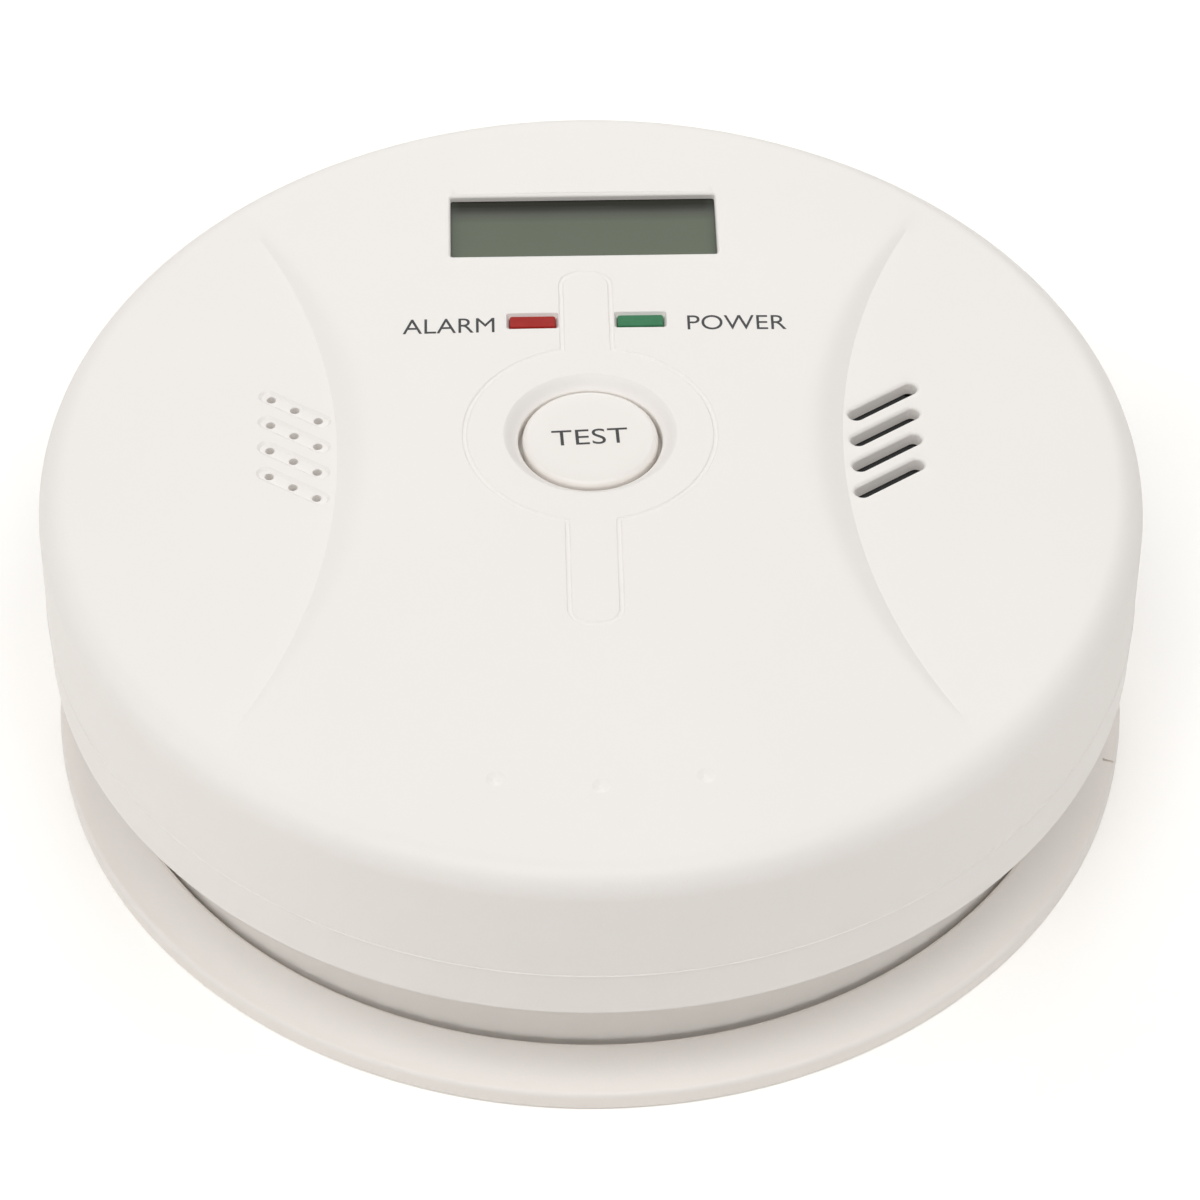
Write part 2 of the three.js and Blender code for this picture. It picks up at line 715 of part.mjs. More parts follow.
function sounderCase() {
  const [x, y] = SOUNDER;
  const top = seatZ + SOUNDER_HEIGHT;
  const inside = SOUNDER_RADIUS - SOUNDER_WALL;
  return turned(
    [
      [inside, seatZ],
      [SOUNDER_RADIUS, seatZ],
      [SOUNDER_RADIUS, top - 0.5],
      [SOUNDER_RADIUS - 0.5, top],
      [SOUNDER_PORT, top],
      [SOUNDER_PORT, top - SOUNDER_WALL],
      [inside, top - SOUNDER_WALL],
      [inside, seatZ],
    ],
    FINE,
    x,
    y,
  );
}

const diaphragmZ = seatZ + SOUNDER_HEIGHT / 2;

function sounderGasket() {
  const outer = SOUNDER_RADIUS - 1;
  const z = seatZ + SOUNDER_HEIGHT + 0.05;
  return ring(outer - GASKET_WIDTH, outer, z, lobeUndersideZ - GAP, ...SOUNDER, FINE);
}

// Open-cell foam that keeps dust off the sensor and lets gas through.
function sensorFilter() {
  const z = seatZ + SENSOR_HEIGHT + 0.05;
  return cylinder(SENSOR_RADIUS - SENSOR_STEP, z, lobeUndersideZ - GAP, ...SENSOR, FINE);
}

function sensorCan() {
  const [x, y] = SENSOR;
  const top = seatZ + SENSOR_HEIGHT;
  return turned(
    [
      [0, seatZ],
      [SENSOR_RADIUS, seatZ],
      [SENSOR_RADIUS, seatZ + SENSOR_STEP],
      [SENSOR_RADIUS - SENSOR_STEP, seatZ + SENSOR_STEP],
      [SENSOR_RADIUS - SENSOR_STEP, top - 0.4],
      [SENSOR_RADIUS - SENSOR_STEP - 0.4, top],
      [INLET_RADIUS + GAP, top],
      [INLET_RADIUS + GAP, top - 1],
      [0, top - 1],
    ],
    FINE,
    x,
    y,
  );
}

place(detector, "circuit_board", board(), boardGreen);
place(detector, "switch_body", switchBody(), switchBlack);
place(detector, "switch_plunger", plunger(), switchBlack);
place(detector, "sounder_case", sounderCase(), switchBlack);
place(
  detector,
  "sounder_diaphragm",
  cylinder(
    SOUNDER_RADIUS - SOUNDER_WALL - GAP,
    diaphragmZ,
    diaphragmZ + DIAPHRAGM_THICK,
    ...SOUNDER,
  ),
  brass,
);
place(
  detector,
  "piezo_element",
  cylinder(PIEZO_RADIUS, diaphragmZ - 0.05 - PIEZO_THICK, diaphragmZ - 0.05, ...SOUNDER),
  ceramicWhite,
);
place(detector, "sounder_gasket", sounderGasket(), foamGrey);
place(detector, "gas_sensor_can", sensorCan(), nickel);
place(
  detector,
  "gas_sensor_membrane",
  cylinder(INLET_RADIUS, seatZ + SENSOR_HEIGHT - 0.95, seatZ + SENSOR_HEIGHT - 0.5, ...SENSOR),
  membraneWhite,
);
place(detector, "gas_sensor_filter", sensorFilter(), foamGrey);

// Small parts on the board: a packaged controller, a driver chip, a coil and a capacitor.
place(
  detector,
  "controller_chip",
  block(10, 10, seatZ, seatZ + 1.5, 0, -14),
  chipBlack,
);
place(detector, "driver_chip", block(5, 4, seatZ, seatZ + 1.5, -17, -16), chipBlack);
place(
  detector,
  "step_up_coil",
  turned(
    [
      [0, seatZ],
      [3.6, seatZ],
      [3.6, seatZ + 1],
      [2.9, seatZ + 1.2],
      [2.9, seatZ + 4.8],
      [3.6, seatZ + 5],
      [3.6, seatZ + 6],
      [0, seatZ + 6],
    ],
    FINE,
    -18,
    -28,
  ),
  copper,
);
place(
  detector,
  "reservoir_capacitor",
  turned(
    [
      [0, seatZ],
      [3.1, seatZ],
      [3.1, seatZ + 6],
      [2.7, seatZ + 6.4],
      [0, seatZ + 6.4],
    ],
    FINE,
    18,
    -28,
  ),
  sleeveBlue,
);

// ---------------------------------------------------------------- display and lamps

// The lowest point of the face over the display's glass, which sets the pocket's flat roof.
const glassCorner = Math.hypot(glassWidth / 2 + GAP, DISPLAY_Y + glassHeight / 2 + GAP);
const pocketRoofZ = domeZ(glassCorner) - WINDOW_LIP;
const glassTopZ = pocketRoofZ - GAP;
const glassZ = glassTopZ - GLASS_THICK;
const frameTopZ = domeZ(glassCorner + FRAME_WALL) - COVER_TOP - GAP;

function displayFrame() {
  const outer = block(frameWidth, frameHeight, seatZ, frameTopZ, 0, DISPLAY_Y);
  const width = glassWidth + 2 * GAP;
  const height = glassHeight + 2 * GAP;
  return outer.subtract(block(width, height, seatZ - 1, frameTopZ + 1, 0, DISPLAY_Y));
}

function contactStrip(side) {
  const y = DISPLAY_Y + side * (glassHeight / 2 - STRIP_WIDTH / 2);
  return block(glassWidth - 2, STRIP_WIDTH, seatZ, glassZ - 0.05, 0, y);
}

const lampTopZ = domeZ(Math.hypot(LAMP_X, LAMP_Y)) - LAMP_SUNK;

function lamp(side) {
  const z0 = lampTopZ - LAMP_LENGTH;
  return block(LAMP_WIDTH, LAMP_HEIGHT, z0, lampTopZ, side * LAMP_X, LAMP_Y);
}

// A spacer on the board that carries the lamp, open around it at the top.
function lampHolder(side) {
  const x = side * LAMP_X;
  const width = LAMP_WIDTH + 2 * (LAMP_CLEARANCE + LAMP_HOLDER_WALL);
  const height = LAMP_HEIGHT + 2 * (LAMP_CLEARANCE + LAMP_HOLDER_WALL);
  const bottom = lampTopZ - LAMP_LENGTH;
  const shell = block(width, height, seatZ, bottom + 3, x, LAMP_Y);
  return shell.subtract(
    block(
      LAMP_WIDTH + 2 * LAMP_CLEARANCE,
      LAMP_HEIGHT + 2 * LAMP_CLEARANCE,
      bottom - 0.05,
      bottom + 4,
      x,
      LAMP_Y,
    ),
  );
}

place(
  detector,
  "display_glass",
  block(glassWidth, glassHeight, glassZ, glassTopZ, 0, DISPLAY_Y),
  displayGreen,
);
place(detector, "display_frame", displayFrame(), frameBlack);
place(detector, "display_strip_upper", contactStrip(1), stripPink);
place(detector, "display_strip_lower", contactStrip(-1), stripPink);
place(detector, "alarm_lamp", lamp(-1), lampRed);
place(detector, "power_lamp", lamp(1), lampGreen);
place(detector, "alarm_lamp_holder", lampHolder(-1), holderBlack);
place(detector, "power_lamp_holder", lampHolder(1), holderBlack);

// ---------------------------------------------------------------- front cover

const domeSteps = [1, 0.75, 0.5, 0.25];

// The cover's outer or inner skin: a can with a rounded edge and a flat top over the lobes.
function canSolid(radius, fillet, z0, rim, top, steps) {
  const arc = Array.from({ length: steps + 1 }, (_, i) => {
    const a = (Math.PI / 2) * (i / steps);
    return [radius - fillet + fillet * Math.cos(a), top - fillet + fillet * Math.sin(a)];
  });
  return turned([[0, z0], [rim, z0], [radius, z0 + PARTING_HEIGHT], ...arc, [0, top]]);
}

// Two cutters that leave the middle of the face standing between curved, sloping steps whose
// feet are at the given height.
function lobes(footZ) {
  const below = 0.6;
  const rise = 3;
  const x = LOBE_INSET + LOBE_RADIUS;
  const profile = [
    [0, footZ - below],
    [LOBE_RADIUS - STEP_SLOPE * below, footZ - below],
    [LOBE_RADIUS + STEP_SLOPE * rise, footZ + rise],
    [0, footZ + rise],
  ];
  return [-1, 1].map((side) => turned(profile, ROUND, side * x, LOBE_CENTRE_Y));
}

// The raised middle, which starts just inside the can and follows the dome lowered by a drop.
function middleSolid(drop) {
  const face = domeSteps.map((s) => [s * domeRadius, domeZ(s * domeRadius) - drop]);
  const foot = edgeZ - drop - 0.5;
  const dome = turned([[0, foot], [domeRadius, foot], ...face, [0, domeZ(0) - drop]], DOME_ROUND);
  return cut(dome, ...lobes(edgeZ - drop));
}

// The outline of the ring and its two tabs, grown by an offset.
function ringShape(offset) {
  const r = ringRadius + offset;
  const w = TAB_HALF_WIDTH + offset;
  const c = TAB_CORNER + offset;
  const top = TAB_TOP + offset;
  const bottom = TAB_BOTTOM - offset;
  const meet = Math.asin(w / r); // angle from Y where a tab meets the ring
  const quarter = Math.PI / 2;
  const shape = new THREE.Shape();
  shape.absarc(0, FACE_CENTRE_Y, r, quarter + meet, 3 * quarter - meet);
  shape.absarc(-w + c, bottom + c, c, Math.PI, 3 * quarter);
  shape.absarc(w - c, bottom + c, c, -quarter, 0);
  shape.absarc(0, FACE_CENTRE_Y, r, -quarter + meet, quarter - meet);
  shape.absarc(w - c, top - c, c, 0, quarter);
  shape.absarc(-w + c, top - c, c, quarter, Math.PI);
  shape.closePath();
  return shape;
}

// The engraved line: a band around the outline, as deep everywhere below the domed face.
function engravedLine() {
  const half = GROOVE_WIDTH / 2;
  const band = prism(ringShape(half), edgeZ - 1, edgeZ + 4, 6).subtract(
    prism(ringShape(-half), edgeZ - 2, edgeZ + 5, 6),
  );
  const reach = 30;
  const steps = [1, 0.75, 0.5, 0.25].map((t) => t * reach);
  const top = steps.map((r) => [r, domeZ(r) - GROOVE_DEPTH]);
  const foot = edgeZ - 3;
  const floor = turned(
    [[0, foot], [reach, foot], ...top, [0, domeZ(0) - GROOVE_DEPTH]],
    DOME_ROUND,
  );
  return band.subtract(floor);
}

const ventRows = Array.from({ length: VENT_ROWS }, (_, i) => {
  const y = VENT_CENTRE_Y + (i - (VENT_ROWS - 1) / 2) * VENT_PITCH;
  return y;
});

function sensorSlots() {
  return ventRows.map((y) =>
    slot(SLOT_LENGTH, SLOT_WIDTH, VENT_ANGLE, edgeZ - 5, edgeZ + 3, VENT_X, y),
  );
}

function sounderHoles() {
  return ventRows.flatMap((y) => {
    const low = edgeZ - SOUND_RECESS;
    const recess = slot(SLOT_LENGTH, SLOT_WIDTH, -VENT_ANGLE, low, edgeZ + 3, -VENT_X, y);
    const holes = Array.from({ length: SOUND_HOLES_IN_ROW }, (_, i) => {
      const along = (i - (SOUND_HOLES_IN_ROW - 1) / 2) * SOUND_HOLE_PITCH;
      const x = -VENT_X + along * Math.cos(radians(VENT_ANGLE));
      const dy = -along * Math.sin(radians(VENT_ANGLE));
      return cylinder(SOUND_HOLE_RADIUS, edgeZ - 5, edgeZ + 3, x, y + dy, 8);
    });
    return [recess, ...holes];
  });
}

function buttonHole() {
  const overrun = 1;
  const grow = (overrun * (dishRadius - BUTTON_HOLE)) / DISH_DEPTH;
  return turned(
    [
      [0, lobeUndersideZ - 2],
      [BUTTON_HOLE, lobeUndersideZ - 2],
      [BUTTON_HOLE, buttonHoleZ],
      [dishRadius + grow, buttonFaceZ + overrun],
      [0, buttonFaceZ + overrun],
    ],
    FINE,
    0,
    FACE_CENTRE_Y,
  );
}

function lampWindow(side) {
  const width = LAMP_WIDTH + 2 * LAMP_CLEARANCE;
  const height = LAMP_HEIGHT + 2 * LAMP_CLEARANCE;
  return block(width, height, edgeZ - 4, edgeZ + 4, side * LAMP_X, LAMP_Y);
}

function blankMarks() {
  const z = domeZ(markCircle) - MARK_DEPTH;
  return [-1, 0, 1].map((i) => {
    const a = radians(-90 + i * MARK_STEP);
    const x = markCircle * Math.cos(a);
    const y = markCircle * Math.sin(a);
    return cylinder(MARK_RADIUS, z, z + 2, x, y, SMALL);
  });
}

function coverBosses() {
  const root = lobeUndersideZ + COVER_TOP / 2; // inside the face's thickness
  const screwBosses = screwPlaces.map(([x, y]) =>
    cylinder(SCREW_BOSS, shoulderTopZ + GAP, root, x, y, FINE),
  );
  const boardBosses = boardScrewPlaces.map(([x, y]) =>
    cylinder(BOARD_BOSS, boardTopZ + GAP, root, x, y, SMALL),
  );
  const sounderWall = ring(
    SOUNDER_RADIUS + GAP,
    SOUNDER_RADIUS + GAP + BAFFLE_WALL,
    lobeUndersideZ - BAFFLE_DEPTH,
    root,
    ...SOUNDER,
    FINE,
  );
  const sensorWall = ring(
    SENSOR_RADIUS + GAP,
    SENSOR_RADIUS + GAP + BAFFLE_WALL,
    lobeUndersideZ - BAFFLE_DEPTH,
    root,
    ...SENSOR,
    FINE,
  );
  const collarInside = BUTTON_HOLE + BUTTON_LIP + GAP;
  const collarRoot = buttonFaceZ - COVER_TOP / 2;
  const collar = ring(
    collarInside,
    collarInside + COLLAR_WALL,
    buttonUndersideZ - COLLAR_DEPTH,
    collarRoot,
    0,
    FACE_CENTRE_Y,
    FINE,
  );
  const dishRadiusBelow = collarInside + COLLAR_WALL / 2;
  const dishWall = cylinder(
    dishRadiusBelow,
    buttonUndersideZ,
    collarRoot,
    0,
    FACE_CENTRE_Y,
    FINE,
  );
  return [...screwBosses, ...boardBosses, sounderWall, sensorWall, collar, dishWall];
}

function pilotHoles() {
  const deep = screwPlaces.map(([x, y]) =>
    cylinder(
      SCREW_RADIUS + THREAD_GAP,
      shoulderTopZ,
      screwSeatZ + SCREW_LENGTH + GAP,
      x,
      y,
      SMALL,
    ),
  );
  const shallow = boardScrewPlaces.map(([x, y]) =>
    cylinder(
      BOARD_SCREW_RADIUS + THREAD_GAP,
      boardTopZ,
      boardZ + BOARD_SCREW_LENGTH + GAP,
      x,
      y,
      SMALL,
    ),
  );
  return [...deep, ...shallow];
}

function frontCover() {
  const skin = canSolid(COVER_RADIUS, EDGE_FILLET, rimZ, COVER_RADIUS - RIM_DRAFT, edgeZ, 4);
  const innerFillet = EDGE_FILLET - COVER_WALL;
  const hollow = canSolid(coverInside, innerFillet, rimZ - 1, coverInside, lobeUndersideZ, 1);
  const shell = cut(
    join(skin, middleSolid(0)),
    join(hollow, middleSolid(COVER_TOP)),
  );
  const pocket = block(
    glassWidth + 2 * GAP,
    glassHeight + 2 * GAP,
    lobeUndersideZ - 1,
    pocketRoofZ,
    0,
    DISPLAY_Y,
  );
  const window = block(WINDOW_WIDTH, WINDOW_HEIGHT, edgeZ - 4, edgeZ + 4, 0, DISPLAY_Y);
  return cut(
    join(shell, ...coverBosses()),
    pocket,
    window,
    lampWindow(-1),
    lampWindow(1),
    buttonHole(),
    engravedLine(),
    ...sensorSlots(),
    ...sounderHoles(),
    ...blankMarks(),
    ...pilotHoles(),
  );
}

place(detector, "front_cover", frontCover(), shellWhite);

// ---------------------------------------------------------------- test button

function testButton() {
  const cap = BUTTON_HOLE - BUTTON_GAP;
  const lip = BUTTON_HOLE + BUTTON_LIP;
  const lipTop = buttonUndersideZ - GAP;
  const lipZ = lipTop - BUTTON_LIP_THICK;
  const arc = Array.from({ length: 5 }, (_, i) => {
    const a = (Math.PI / 2) * (i / 4);
    const r = cap - BUTTON_FILLET + BUTTON_FILLET * Math.cos(a);
    return [r, buttonTopZ - BUTTON_FILLET + BUTTON_FILLET * Math.sin(a)];
  });
  return turned(
    [
      [0, plungerTopZ + 0.05],
      [BUTTON_STEM, plungerTopZ + 0.05],
      [BUTTON_STEM, lipZ + 0.6],
      [cap - 1, lipZ + 0.6],
      [cap - 1, lipZ],
      [lip, lipZ],
      [lip, lipTop],
      [cap, lipTop],
      ...arc,
      [0, buttonTopZ],
    ],
    FINE,
    0,
    FACE_CENTRE_Y,
  );
}

place(detector, "test_button", testButton(), buttonWhite);

export default detector;
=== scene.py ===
"""Looks of a round carbon monoxide alarm on its twist-lock mounting plate.

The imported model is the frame: +Z comes out of the alarm's face, +Y points to the display
and +X to the sensor slots. Sizes below are millimetres unless a name says otherwise.
"""

import json
import math

import bmesh
import bpy
import numpy as np
from mathutils import Matrix, Vector
from mathutils.geometry import delaunay_2d_cdt


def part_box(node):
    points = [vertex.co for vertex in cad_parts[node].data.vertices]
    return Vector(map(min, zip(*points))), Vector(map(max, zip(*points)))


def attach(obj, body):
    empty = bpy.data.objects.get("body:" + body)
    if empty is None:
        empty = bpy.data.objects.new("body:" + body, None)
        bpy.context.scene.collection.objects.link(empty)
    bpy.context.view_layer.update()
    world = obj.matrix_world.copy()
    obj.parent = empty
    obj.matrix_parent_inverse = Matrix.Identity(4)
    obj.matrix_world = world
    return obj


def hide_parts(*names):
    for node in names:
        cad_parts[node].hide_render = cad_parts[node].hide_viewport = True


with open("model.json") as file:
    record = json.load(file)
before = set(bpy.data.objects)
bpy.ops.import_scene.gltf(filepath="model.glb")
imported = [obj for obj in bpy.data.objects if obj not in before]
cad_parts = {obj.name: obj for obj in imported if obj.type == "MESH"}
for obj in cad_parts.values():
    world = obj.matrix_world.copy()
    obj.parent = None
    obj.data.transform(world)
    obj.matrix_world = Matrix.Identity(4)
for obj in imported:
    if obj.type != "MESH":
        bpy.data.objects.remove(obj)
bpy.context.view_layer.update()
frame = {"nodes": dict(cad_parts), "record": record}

MM = 0.001
QUARTER = math.pi / 2


def corners(node):
    """Lowest and highest corner of a node at rest, in millimetres."""
    low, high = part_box(node)
    return Vector(low) / MM, Vector(high) / MM


def middle(node):
    low, high = corners(node)
    return (low + high) / 2


def in_scene(name, data):
    """A new object in the scene that holds the data."""
    thing = bpy.data.objects.new(name, data)
    bpy.context.scene.collection.objects.link(thing)
    return thing


# ---------------------------------------------------------------- sizes

cover_low, cover_high = corners("front_cover")
_, plate_high = corners("mounting_plate")
housing_low, _ = corners("rear_housing")
button_low, button_high = corners("test_button")
lamp_low, lamp_high = corners("power_lamp")
glass_low, glass_high = corners("display_glass")

COVER_RADIUS = cover_high.x
RIM_Z = cover_low.z
DOME_RISE = 1.2
EDGE_Z = cover_high.z - DOME_RISE  # where the rounded edge meets the face
EDGE_ROUND = 2.9
DOME_RADIUS = COVER_RADIUS - EDGE_ROUND
FACE_WALL = 1.5
SIDE_WALL = 1.8
RIM_DRAFT = 0.15
MOULD_LINE_Z = RIM_Z + 5.3
MOULD_LINE_PROUD = 0.07
ROUND_STEPS = 288  # around the cover

LOBE_RADIUS = 70.0
LOBE_FOOT = 24.3  # from the centre line to the foot of each side step
LOBE_Y = 0.7
STEP_SLOPE = 2.7
STEP_SOFTNESS = 0.42

FACE_Y = button_low.y / 2 + button_high.y / 2
RING_RADIUS = 12.08
TAB_HALF = 2.44
TAB_TOP = 26.8
TAB_BOTTOM = -21.8
TAB_CORNER = 1.9
GROOVE_HALF = 0.28
GROOVE_FLAT = 0.15  # half width of the groove's flat bottom
GROOVE_DEPTH = 0.1

BUTTON_HOLE = 6.95
DISH_MARGIN = 1.4
DISH_DEPTH = 1.0
DISH_FLOOR = 1.2  # wall under the bottom of the dish
DISH_WALL = 1.9  # how far the thick wall reaches round the button's hole
DISH_UNDERSIDE_Z = EDGE_Z + DOME_RISE * (1 - (FACE_Y / DOME_RADIUS) ** 2) - DISH_DEPTH - DISH_FLOOR
COLLAR_HEIGHT = 2.6  # ring wall that guides the button, below the dish

VENT_X = 28.5
VENT_Y = 3.3
VENT_PITCH = 3.55
VENT_ROWS = 4
VENT_ANGLE = math.radians(33.5)
SLOT_LENGTH = 7.9
SLOT_WIDTH = 1.5
HOLE_PITCH = 2.75
HOLE_RADIUS = 0.44
ROW_DEPTH = 0.22

MARK_RADIUS = 0.8
MARK_DEPTH = 0.18
MARK_CIRCLE = 41.7
MARK_STEP = math.radians(13.2)

WINDOW_WIDTH = 26.6
WINDOW_HEIGHT = 9.3
WINDOW_EDGE = 0.35  # rounding of the window's upper edge
LAMP_TAPER = 0.25
LAMP_PLAY = 0.3  # windows are this much larger than their lamps
LENS_RISE = 0.1
LENS_TILT = 0.05  # the lens leans towards the display
PANE_Z = glass_high.z + 0.2  # top of the display pane
PANE_PLAY = 0.6

PLATE_CROWN_Z = 4.35
NECK_RADIUS = 48.0


# ---------------------------------------------------------------- outlines


class Disc:
    """A round outline."""

    def __init__(self, x, y, radius, steps=32):
        self.x, self.y, self.radius, self.steps = x, y, radius, steps

    def gap(self, px, py):
        """Distance from points to the outline, negative inside."""
        return np.hypot(px - self.x, py - self.y) - self.radius

    def loop(self, grow=0.0):
        r = self.radius + grow
        turns = [2 * math.pi * i / self.steps for i in range(self.steps)]
        return [(self.x + r * math.cos(a), self.y + r * math.sin(a)) for a in turns]


class Pill:
    """A slot outline with round ends; a rectangle with round corners when it has a height."""

    def __init__(self, x, y, length, width, angle=0.0, corner=None, steps=8):
        self.x, self.y, self.angle, self.steps = x, y, angle, steps
        self.corner = width / 2 if corner is None else corner
        self.half_x = length / 2 - self.corner
        self.half_y = width / 2 - self.corner

    def gap(self, px, py):
        c, s = math.cos(self.angle), math.sin(self.angle)
        dx, dy = px - self.x, py - self.y
        along = np.abs(dx * c + dy * s) - self.half_x
        across = np.abs(dy * c - dx * s) - self.half_y
        outside = np.hypot(np.maximum(along, 0), np.maximum(across, 0))
        return outside + np.minimum(np.maximum(along, across), 0) - self.corner

    def loop(self, grow=0.0):
        r = self.corner + grow
        c, s = math.cos(self.angle), math.sin(self.angle)
        centres = [(1, 1), (-1, 1), (-1, -1), (1, -1)]
        points = []
        for quarter, (sx, sy) in enumerate(centres):
            for i in range(self.steps + 1):
                a = QUARTER * (quarter + i / self.steps)
                u = sx * self.half_x + r * math.cos(a)
                v = sy * self.half_y + r * math.sin(a)
                points.append((self.x + u * c - v * s, self.y + u * s + v * c))
        return tidy_loop(points)


def tidy_loop(points, nearest=1e-4):
    """A loop without repeated points."""
    kept = []
    for p in points:
        if not kept or math.dist(p, kept[-1]) > nearest:
            kept.append(p)
    if math.dist(kept[0], kept[-1]) <= nearest:
        kept.pop()
    return kept


def ring_and_tabs(grow=0.0, arc_steps=56, corner_steps=8):
    """The engraved outline round the button: a ring with a tab above it and one below."""
    r = RING_RADIUS + grow
    w = TAB_HALF + grow
    c = TAB_CORNER + grow
    meet = math.asin(w / r)
    arcs = [
        (0, FACE_Y, r, QUARTER + meet, 3 * QUARTER - meet, arc_steps),
        (-w + c, TAB_BOTTOM - grow + c, c, 2 * QUARTER, 3 * QUARTER, corner_steps),
        (w - c, TAB_BOTTOM - grow + c, c, 3 * QUARTER, 4 * QUARTER, corner_steps),
        (0, FACE_Y, r, -QUARTER + meet, QUARTER - meet, arc_steps),
        (w - c, TAB_TOP + grow - c, c, 0, QUARTER, corner_steps),
        (-w + c, TAB_TOP + grow - c, c, QUARTER, 2 * QUARTER, corner_steps),
    ]
    points = []
    for x, y, radius, start, end, steps in arcs:
        for i in range(steps + 1):
            a = start + (end - start) * i / steps
            points.append((x + radius * math.cos(a), y + radius * math.sin(a)))
    return tidy_loop(split_long(points, 1.2))


def split_long(points, longest):
    """The same closed loop with extra points on its long straight sides."""
    result = []
    for p, q in zip(points, points[1:] + points[:1]):
        parts = max(1, math.ceil(math.dist(p, q) / longest))
        for i in range(parts):
            t = i / parts
            result.append((p[0] + (q[0] - p[0]) * t, p[1] + (q[1] - p[1]) * t))
    return result


def gap_to_line(px, py, loop):
    """Distance from points to the nearest stretch of a closed line."""
    nearest = np.full(px.shape, 1e9)
    for p, q in zip(loop, loop[1:] + loop[:1]):
        dx, dy = q[0] - p[0], q[1] - p[1]
        t = ((px - p[0]) * dx + (py - p[1]) * dy) / (dx * dx + dy * dy)
        t = np.clip(t, 0, 1)
        nearest = np.minimum(nearest, np.hypot(px - p[0] - t * dx, py - p[1] - t * dy))
    return nearest


# ---------------------------------------------------------------- the face's openings and relief

button_hole = Disc(0, FACE_Y, BUTTON_HOLE, 96)
display_window = Pill(
    0, middle("display_glass").y, WINDOW_WIDTH, WINDOW_HEIGHT, corner=0.25, steps=3
)
lamp_windows = [
    Pill(
        side * middle("power_lamp").x,
        middle("power_lamp").y,
        lamp_high.x - lamp_low.x + LAMP_PLAY,
        lamp_high.y - lamp_low.y + LAMP_PLAY,
        corner=0.3,
        steps=4,
    )
    for side in (-1, 1)
]
vent_rows = [VENT_Y + (i - (VENT_ROWS - 1) / 2) * VENT_PITCH for i in range(VENT_ROWS)]
sensor_slots = [Pill(VENT_X, y, SLOT_LENGTH, SLOT_WIDTH, VENT_ANGLE) for y in vent_rows]
sounder_rows = [Pill(-VENT_X, y, SLOT_LENGTH, SLOT_WIDTH, -VENT_ANGLE) for y in vent_rows]
sounder_holes = [
    Disc(
        -VENT_X + along * math.cos(VENT_ANGLE),
        y - along * math.sin(VENT_ANGLE),
        HOLE_RADIUS,
        16,
    )
    for y in vent_rows
    for along in (-HOLE_PITCH, 0, HOLE_PITCH)
]
blank_marks = [
    Disc(
        MARK_CIRCLE * math.cos(-QUARTER + i * MARK_STEP),
        MARK_CIRCLE * math.sin(-QUARTER + i * MARK_STEP),
        MARK_RADIUS,
        20,
    )
    for i in (-1, 0, 1)
]

dish_wall = Disc(0, FACE_Y, BUTTON_HOLE + DISH_WALL, 96)
pane_pocket = Pill(
    0,
    middle("display_glass").y,
    glass_high.x - glass_low.x + PANE_PLAY,
    glass_high.y - glass_low.y + PANE_PLAY,
    corner=0.5,
    steps=3,
)

# Each opening: its outline, the rounding of its upper edge, and how much narrower it is below.
openings = [(button_hole, 0.15, 0.0), (display_window, WINDOW_EDGE, 0.0)]
openings += [(window, 0.1, LAMP_TAPER) for window in lamp_windows]
openings += [(slot, 0.42, 0.0) for slot in sensor_slots]
openings += [(hole, 0.08, 0.0) for hole in sounder_holes]


def soft_lowest(a, b, softness):
    """The lower of two heights with the corner between them eased."""
    blend = np.clip(0.5 + 0.5 * (b - a) / softness, 0, 1)
    return b + (a - b) * blend - softness * blend * (1 - blend)


def ease(t):
    t = np.clip(t, 0, 1)
    return t * t * (3 - 2 * t)


def dome_and_step(px, py):
    """Heights over the rounded edge of the plain dome, and of the slope up from a side step."""
    reach = np.hypot(px, py) / DOME_RADIUS
    past_foot = np.minimum(*[
        np.hypot(px - side * (LOBE_FOOT + LOBE_RADIUS), py - LOBE_Y) - LOBE_RADIUS
        for side in (-1, 1)
    ])
    return DOME_RISE * np.maximum(0, 1 - reach**2), np.maximum(0, past_foot) / STEP_SLOPE


def face_height(px, py):
    """Height of the face at points, with its relief but without the edges of its openings."""
    dome, slope = dome_and_step(px, py)
    softness = STEP_SOFTNESS * np.minimum(1, dome) + 1e-6
    z = EDGE_Z + np.maximum(0, soft_lowest(slope, dome, softness))
    fall = np.clip(button_hole.gap(px, py) / DISH_MARGIN, 0, 1)
    z = z - DISH_DEPTH * (1 - (fall + ease(fall)) / 2)
    line = gap_to_line(px, py, ring_and_tabs())
    z = z - GROOVE_DEPTH * (1 - ease((line - GROOVE_FLAT) / (GROOVE_HALF - GROOVE_FLAT)))
    for row in sounder_rows:
        z = z - ROW_DEPTH * (1 - ease((row.gap(px, py) + 0.15) / 0.3))
    for mark in blank_marks:
        z = z - MARK_DEPTH * (1 - ease((mark.gap(px, py) + 0.5) / 0.6))
    return z


def opening_height(px, py):
    """The finished face: its relief, and the rounded upper edge of every opening."""
    z = face_height(px, py)
    for outline, rounding, _ in openings:
        t = np.clip(outline.gap(px, py) / rounding, 0, 1)
        z = z - rounding * (1 - np.sqrt(1 - (1 - t) ** 2))
    return z


def underside_height(px, py):
    """The inside of the face: it follows the outside, thick at the dish and thin at the pane."""
    dome, slope = dome_and_step(px, py)
    z = EDGE_Z - FACE_WALL + np.minimum(slope, dome)
    z = np.where(dish_wall.gap(px, py) < 0.02, DISH_UNDERSIDE_Z, z)
    return np.where(pane_pocket.gap(px, py) < 0.02, PANE_Z + 0.1, z)


